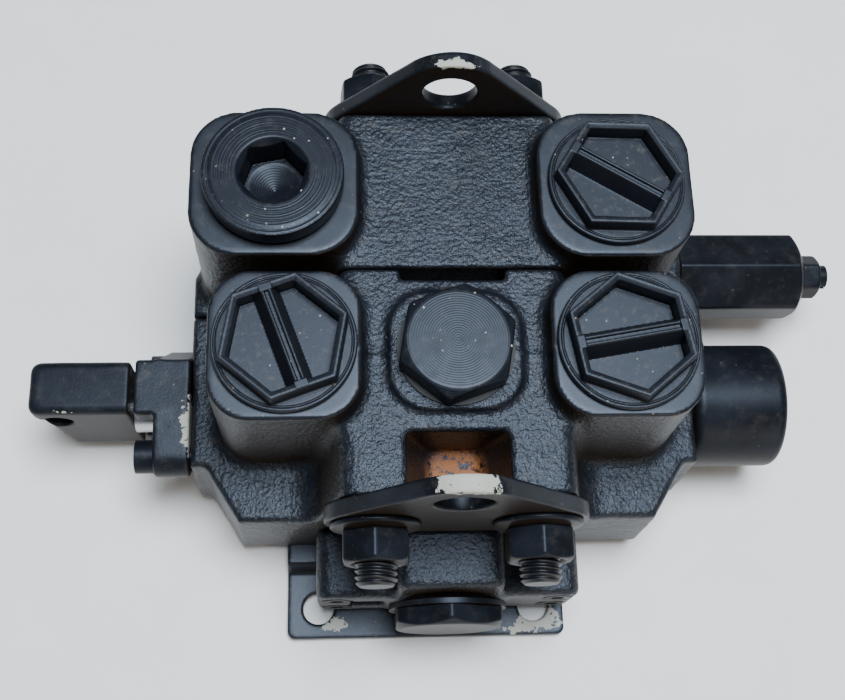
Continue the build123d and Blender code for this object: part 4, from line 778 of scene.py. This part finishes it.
CHECK_SEAT = low_high("check_plug_seal")[1][2]
CHECK_TOP = low_high("check_plug")[1][2]
field_piece("check_plug_head",
            [(lambda x, y, z: hex_head(x, y, z, CHECK, CHECK_HEX, 20.0, CHECK_SEAT, CHECK_TOP),
              CHECK * (1, 1, 0) + (-18, -18, CHECK_SEAT), CHECK * (1, 1, 0) + (18, 18, CHECK_TOP))],
            FINE, "housing", check_plug_steel, ["check_plug"])

HUMP_R, EAR_R = 15.2, 14.5
EYE_OUTLINE = hull([(MID_X, EYE_Z, HUMP_R)] + [(x, TIE_Z, EAR_R) for x in TIE_X])


def eye_plate(name, y_low, y_high):
    """Plate with a lifting eye between two ears, cut with slightly rounded edges."""
    def field(x, y, z):
        plate = raised(convex(x, z, EYE_OUTLINE), y, y_low, y_high, 0.9)
        return cut(plate, disc(x, z, (MID_X, EYE_Z), EYE_R), 0.9)

    low, high = low_high(name)
    field_piece(name + "_cut", [(field, low, high)], PLATE_STEP, "housing", plate_paint,
                [name], [(9.0, 0.07, 11)])


eye_plate("eye_plate_front", EYE_FRONT[0][1], EYE_FRONT[1][1])
eye_plate("eye_plate_rear", EYE_REAR[0][1], EYE_REAR[1][1])

# outer face of each plate, its outward way along Y, and the angles of its two nuts
ENDS = [(EYE_FRONT[0][1], -1, (93, 90)), (EYE_REAR[1][1], 1, (84, 100))]
WASHER_R, WASHER_HIGH, NUT_HIGH = 12.8, 2.5, 9.0
THREAD_PITCH, THREAD_DEEP = 1.75, 0.45
SHANK_END, TIE_SHANK_R = 9, 5.9


def tie_washer(centre, seat, way):
    """Domed washer, thinner at its rim."""
    def field(x, y, z):
        away = np.hypot(x - centre[0], z - centre[1])
        rise = (y - seat) * way
        dome = rise - WASHER_HIGH + 1.0 * np.clip((away - 8.8) / 4.0, 0, 1)
        ring = smooth_max(away - WASHER_R, np.maximum(-rise, dome), 0.8)
        return cut(ring, away - 6.3, 0.3)

    outer = seat + way * WASHER_HIGH
    return (field, (centre[0] - WASHER_R, min(seat, outer), centre[1] - WASHER_R),
            (centre[0] + WASHER_R, max(seat, outer), centre[1] + WASHER_R))


def tie_nut(centre, seat, way, turn):
    """Hex nut with its outer corners turned down and a bevelled bore."""
    outer = seat + way * NUT_HIGH

    def field(x, y, z):
        away = np.hypot(x - centre[0], z - centre[1])
        nut = hex_head(x, z, y, centre, NUT_HEX, turn, seat, outer)
        bore = np.minimum(away - 6.05, (away - 7.0 + (outer - y) * way) / DIAGONAL)
        return cut(nut, bore, 0.3)

    return (field, (centre[0] - 10.5, min(seat, outer), centre[1] - 10.5),
            (centre[0] + 10.5, max(seat, outer), centre[1] + 10.5))


def tie_end(centre, seat, way, tip):
    """Threaded rod end: the radius falls by 0.9 and rises again once every pitch along and once round."""
    def field(x, y, z):
        u, v = x - centre[0], z - centre[1]
        phase = 2 * math.pi * y / THREAD_PITCH * way + np.arctan2(v, u)
        thread = np.hypot(u, v) - (TIE_R - THREAD_DEEP * (1 - np.cos(phase)))
        bevel = (np.hypot(u, v) - TIE_R + 1.3 + (y - tip) * way) / DIAGONAL
        ends = between(y, min(seat, tip), max(seat, tip))
        return smooth_max(smooth_max(thread * 0.8, bevel, 0.3), ends, 0.2)

    return (field, (centre[0] - TIE_R, min(seat, tip), centre[1] - TIE_R),
            (centre[0] + TIE_R, max(seat, tip), centre[1] + TIE_R))


washers, nuts, rod_ends = [], [], []
for plate_y, way, turns in ENDS:
    tip = TIE_LOW[1] if way < 0 else TIE_HIGH[1]
    for tie_x, turn in zip(TIE_X, turns):
        washers.append(tie_washer((tie_x, TIE_Z), plate_y, way))
        nuts.append(tie_nut((tie_x, TIE_Z), plate_y + way * WASHER_HIGH, way, turn))
        rod_ends.append(tie_end((tie_x, TIE_Z), plate_y + way * SHANK_END, way, tip))
field_piece("tie_rod_washers_domed", washers, FINE, "housing", hardware_paint,
            ["tie_rod_washers"])
field_piece("tie_rod_nuts_turned", nuts, FINE, "housing", hardware_paint, ["tie_rod_nuts"])
field_piece("tie_rod_threads", rod_ends, THREAD_STEP, "housing", thread_black, ["tie_rods"])
SHANK_FRONT, SHANK_REAR = EYE_FRONT[0][1] - SHANK_END, EYE_REAR[1][1] + SHANK_END
SHANK_PROFILE = [(SHANK_FRONT, 0), (SHANK_FRONT, TIE_SHANK_R), (SHANK_REAR, TIE_SHANK_R), (SHANK_REAR, 0)]
for side, tie_x in zip(("left", "right"), TIE_X):
    points, faces = turned_points("y", (tie_x, TIE_Z), SHANK_PROFILE, segments=48, spacing=20.0)
    make_object("tie_rod_shank_" + side, points, faces, "housing", hardware_paint)

END_WASHER = low_high("end_plug_washer")
END_PLUG_FACE = low_high("end_plug")[0][1]


def end_plug_field(x, y, z):
    """Hex head of the end cover's plug, facing forwards."""
    return hex_head(x, z, y, (MID_X, SPOOL_Z), END_HEX, 90.0, END_WASHER[0][1], END_PLUG_FACE)


field_piece("end_plug_head",
            [(end_plug_field, (MID_X - 19, END_PLUG_FACE, SPOOL_Z - 19),
              (MID_X + 19, END_WASHER[0][1], SPOOL_Z + 19))],
            FINE, "housing", hardware_paint, ["end_plug"])

FOOT_HOLE_X, FOOT_HOLE_IN, FOOT_HOLE_R = 35.0, 9.5, 5.0
FOOT_SCREW_X, FOOT_SCREW_IN, FOOT_SCREW_R = 20.0, 12.0, 4.2


def foot_piece(name, way):
    """Sheet foot: its middle surface steps down smoothly, with rounded corners and edges."""
    low, high = low_high(name)
    inner, outer = (high[1], low[1]) if way < 0 else (low[1], high[1])
    step_y = outer - way * 23.0

    def field(x, y, z):
        share = np.clip((y - step_y) * way / 5.0 + 0.5, 0, 1)
        level = 6.0 - 4.0 * share * share * (3 - 2 * share)
        slope = 4.0 / 5.0 * 6 * share * (1 - share)
        sheet = np.abs(z - level) / np.sqrt(1 + slope * slope) - 2.0
        middle_y, half_x, half_y = (inner + outer) / 2, (high[0] - low[0]) / 2, abs(outer - inner) / 2
        plan = rectangle(x, y, (0, middle_y), half_x, half_y, 2.6)
        foot = smooth_max(sheet, plan, 0.8)
        for side in (-1, 1):
            bolt = (side * FOOT_HOLE_X, outer - way * FOOT_HOLE_IN)
            foot = cut(foot, disc(x, y, bolt, FOOT_HOLE_R), 0.8)
            screw = (side * FOOT_SCREW_X, inner + way * FOOT_SCREW_IN)
            foot = cut(foot, disc(x, y, screw, FOOT_SCREW_R), 0.4)
        return foot

    field_piece(name + "_pressed", [(field, low, high)], SHEET_STEP, "housing", foot_paint,
                [name], [(8.0, 0.08, 13)])


foot_piece("foot_front", -1)
foot_piece("foot_rear", 1)

TONGUE_LOW, TONGUE_HIGH = low_high("spool_tongue")
TONGUE_DROP, TONGUE_TAPER = [0, 7, 16, 36], [0, 0, 3.5, 6.3]    # how far the end comes in, at each drop
TONGUE_EYE_IN, TONGUE_EYE_DOWN, TONGUE_EYE_R = 7.6, 10.5, 4.5
TONGUE_SOCKET_R, TONGUE_SOCKET_DEEP = 4.65, 13.8


def tongue_field(x, y, z):
    """Block whose outer end comes in as it drops, with a cross hole and worn edges."""
    end = TONGUE_LOW[0] + np.interp(TONGUE_HIGH[2] - z, TONGUE_DROP, TONGUE_TAPER)
    sides = between(y, TONGUE_LOW[1], TONGUE_HIGH[1])
    shape = smooth_max(smooth_max((end - x) * 0.95, sides, 3.6), z - TONGUE_HIGH[2], 3.2)
    shape = smooth_max(smooth_max(shape, x - TONGUE_HIGH[0], 1.0), TONGUE_LOW[2] - z, 1.2)
    eye = (TONGUE_LOW[0] + TONGUE_EYE_IN, TONGUE_HIGH[2] - TONGUE_EYE_DOWN)
    shape = cut(shape, disc(x, z, eye, TONGUE_EYE_R), 0.9)
    socket = disc(y, z, (SPOOL_Y, SPOOL_Z), TONGUE_SOCKET_R)
    return cut(shape, np.maximum(socket, TONGUE_HIGH[0] - TONGUE_SOCKET_DEEP - x), 0.3)


field_piece("spool_tongue_forged", [(tongue_field, TONGUE_LOW, TONGUE_HIGH)], FINE, "spool",
            tongue_paint, ["spool_tongue"], [(7.0, 0.10, 17)])

SEAL_LOW, SEAL_HIGH = low_high("seal_cover")
ARM_Y = (TONGUE_LOW[1] + TONGUE_HIGH[1]) / 2
ARM_HALF, ARM_LOW, ARM_HIGH = 8.85, SPOOL_Z - 15.0, SPOOL_Z + 18.0
SEAL_BORE_R, SEAL_FLANGE = 7.2, 11.0
SEAL_EARS = [(SPOOL_Y - 17.7, SPOOL_Z + 10.0), (SPOOL_Y + 17.0, SPOOL_Z - 12.4)]
SEAL_OUTLINE = hull([(ARM_Y + side * (ARM_HALF - 1), z, 1.0) for side in (-1, 1)
                     for z in (ARM_LOW + 1, ARM_HIGH - 1)] + [(*ear, 6.4) for ear in SEAL_EARS])


def seal_cover_field(x, y, z):
    """Flange with two diagonal ears, and an arm round the journal that is open in front."""
    flange_x = LEFT_X - SEAL_FLANGE
    flange = raised(convex(y, z, SEAL_OUTLINE), x, flange_x, LEFT_X, 1.2)
    arm = rectangle(y, z, (ARM_Y, (ARM_LOW + ARM_HIGH) / 2), ARM_HALF, (ARM_HIGH - ARM_LOW) / 2, 1.5)
    shape = smooth_min(flange, raised(arm, x, SEAL_LOW[0], flange_x + 2, 1.2), 1.0)
    shape = cut(shape, np.maximum(disc(y, z, (SPOOL_Y, SPOOL_Z), SEAL_BORE_R), x - LEFT_X - 1), 0.4)
    window = np.maximum(between(z, SPOOL_Z - 8.0, SPOOL_Z + 10.0), y - SPOOL_Y)
    return cut(shape, np.maximum(window, x - flange_x), 0.8)


field_piece("seal_cover_cast", [(seal_cover_field, SEAL_LOW, SEAL_HIGH)], PLATE_STEP, "housing",
            cover_paint, ["seal_cover"], [(3.0, 0.06, 19)], [(0, LEFT_X)])

CAP_LOW, CAP_HIGH = low_high("detent_cap")
CAP_R = (CAP_HIGH[1] - CAP_LOW[1]) / 2


def cap_field(x, y, z):
    """Round cap on the spool's axis, with a well rounded rim."""
    return smooth_max(disc(y, z, (SPOOL_Y, SPOOL_Z), CAP_R), between(x, RIGHT_X, CAP_HIGH[0]), 3.4)


field_piece("detent_cap_turned", [(cap_field, (RIGHT_X, CAP_LOW[1], CAP_LOW[2]), CAP_HIGH)], PLATE_STEP,
            "housing", hardware_paint, ["detent_cap"])

RELIEF_END, NUT_END = low_high("relief_body")[1][0], low_high("relief_locknut")[1][0]
RELIEF_AXIS = (RELIEF_Y, SPOOL_Z)
SCREW_BORE_R = 4.05


def relief_field(x, y, z):
    """Hexagonal cartridge with a long bevel at its outer end and a bore for the screw."""
    body = hex_head(y, z, x, RELIEF_AXIS, RELIEF_HEX, 36.2, RIGHT_X + 1.0, RELIEF_END, 0.6)
    return cut(body, disc(y, z, RELIEF_AXIS, SCREW_BORE_R), 0.4)


def locknut_field(x, y, z):
    """Lock nut against the cartridge."""
    nut = hex_head(y, z, x, RELIEF_AXIS, LOCKNUT_HEX, 20.0, RELIEF_END, NUT_END)
    return cut(nut, disc(y, z, RELIEF_AXIS, SCREW_BORE_R), 0.5)


field_piece("relief_body_hexagon",
            [(relief_field, (RIGHT_X + 1, RELIEF_Y - 15, SPOOL_Z - 15),
              (RELIEF_END, RELIEF_Y + 15, SPOOL_Z + 15))],
            PLATE_STEP, "housing", hardware_paint, ["relief_body"])
field_piece("relief_locknut_hexagon",
            [(locknut_field, (RELIEF_END, RELIEF_Y - 8, SPOOL_Z - 8),
              (NUT_END, RELIEF_Y + 8, SPOOL_Z + 8))],
            LOCKNUT_STEP, "housing", hardware_paint, ["relief_locknut"])


def squeezed_spring(node, axis, centre, turns, wire_r, start, end, moving):
    """Coil of round wire from start to end round the axis.

    A point on it lies at the coil radius plus wire_r times the cosine of its angle round the wire, and
    climbs evenly with the angle round the coil.
    """
    low, high = low_high(node)
    coil_r = (high[1] - low[1]) / 2 - wire_r
    share = np.linspace(0, 1, turns * 36 + 1)[:, None]
    ring = np.linspace(0, 2 * math.pi, 12, False)[None, :]
    thick = wire_r * np.where((share == 0) | (share == 1), 0.05, 1)
    along = start + wire_r + share * (end - start - 2 * wire_r) + thick * np.sin(ring)
    round_coil = 2 * math.pi * turns * share + 0 * ring
    points = axis_points(axis, centre, along, coil_r + thick * np.cos(ring), round_coil)
    faces = grid_faces(len(share), ring.size)[:, ::-1]
    coil = make_object(node + "_coil", points.reshape(-1, 3), faces, "housing", steel,
                       [node])
    way = {"x": (1, 0, 0), "z": (0, 0, 1)}[axis]
    [end * MM * part for part in way]
    1 - moving / (end - start)
    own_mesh(coil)


CHECK_SPRING, RELIEF_SPRING = low_high("check_spring"), low_high("relief_spring")
squeezed_spring("check_spring", "z", CHECK[:2], 7, 0.6, CHECK_SPRING[0][2],
                CHECK_SPRING[1][2], 5.1)
squeezed_spring("relief_spring", "x", RELIEF_AXIS, 9, 0.8, RELIEF_SPRING[0][0],
                RELIEF_SPRING[1][0] - 1.1, 2.1)


# ---------------------------- finish of every CAD piece
FINISHES = {
    "black_casting": cover_paint, "black_steel": hardware_paint, "turned_steel_plug": socket_plug_steel,
    "black_plastic": plug_plastic, "ground_steel": steel, "seal_rubber": rubber,
}
SPECIAL = {"eye_plate_front": plate_paint, "eye_plate_rear": plate_paint, "foot_front": foot_paint,
           "foot_rear": foot_paint, "spool_tongue": tongue_paint, "check_plug": check_plug_steel}
for part in frame["record"]["subparts"]:
    node = frame["nodes"][part["node"]]
    finish = SPECIAL.get(part["node"], FINISHES[part["material_slot"]])
    node.data.materials.clear()
    node.data.materials.append(finish)


# ---------------------------- floor, light and camera
def studio():
    """Pale floor, broad soft lights and the camera."""
    side = 3.0
    floor = bpy.data.meshes.new("floor")
    floor.from_pydata([(-side, -side, 0), (side, -side, 0), (side, side, 0), (-side, side, 0)], [],
                      [(0, 1, 2, 3)])
    tree = Tree("pale_floor")
    speck = tree.noise(40.0, 4.0, 0.6)
    colour = tree.mix(speck, (0.86, 0.83, 0.79), (0.92, 0.90, 0.86))
    floor.materials.append(tree.finish(Base_Color=colour, Roughness=0.8))
    floor_object = bpy.data.objects.new("floor", floor)
    bpy.context.scene.collection.objects.link(floor_object)

    world = bpy.data.worlds.new("soft_room")
    world.use_nodes = True
    world.node_tree.nodes["Background"].inputs["Color"].default_value = (0.86, 0.92, 1.0, 1)
    world.node_tree.nodes["Background"].inputs["Strength"].default_value = 0.22
    bpy.context.scene.world = world

    lights = [("sky_panel", (0.10, 0.06, 1.2), 0.5, 28.0, (0.80, 0.89, 1.0)),
              ("front_fill", (0.35, -0.9, 0.30), 0.5, 2.6, (1.0, 0.84, 0.66))]
    for name, place, size, power, colour in lights:
        light = bpy.data.lights.new(name, "AREA")
        light.size, light.energy, light.color = size, power, colour
        lamp = bpy.data.objects.new(name, light)
        lamp.location = place
        lamp.rotation_euler = (Vector((0, 0, 0.05)) - Vector(place)).to_track_quat("-Z", "Y").to_euler()
        bpy.context.scene.collection.objects.link(lamp)

    place = Vector((-0.02488, -0.12503, 0.40094))
    right = Vector((0.99807, -0.02488, 0.05657))
    up = Vector((0.00525, 0.94628, 0.32332))
    back = right.cross(up).normalized()
    up = back.cross(right).normalized()
    camera = bpy.data.objects.new("camera", bpy.data.cameras.new("camera"))
    camera.data.lens = 51.15
    camera.data.clip_start = 0.01
    camera.matrix_world = Matrix.Translation(place) @ Matrix((right, up, back)).transposed().to_4x4()
    bpy.context.scene.collection.objects.link(camera)
    bpy.context.scene.camera = camera


studio()
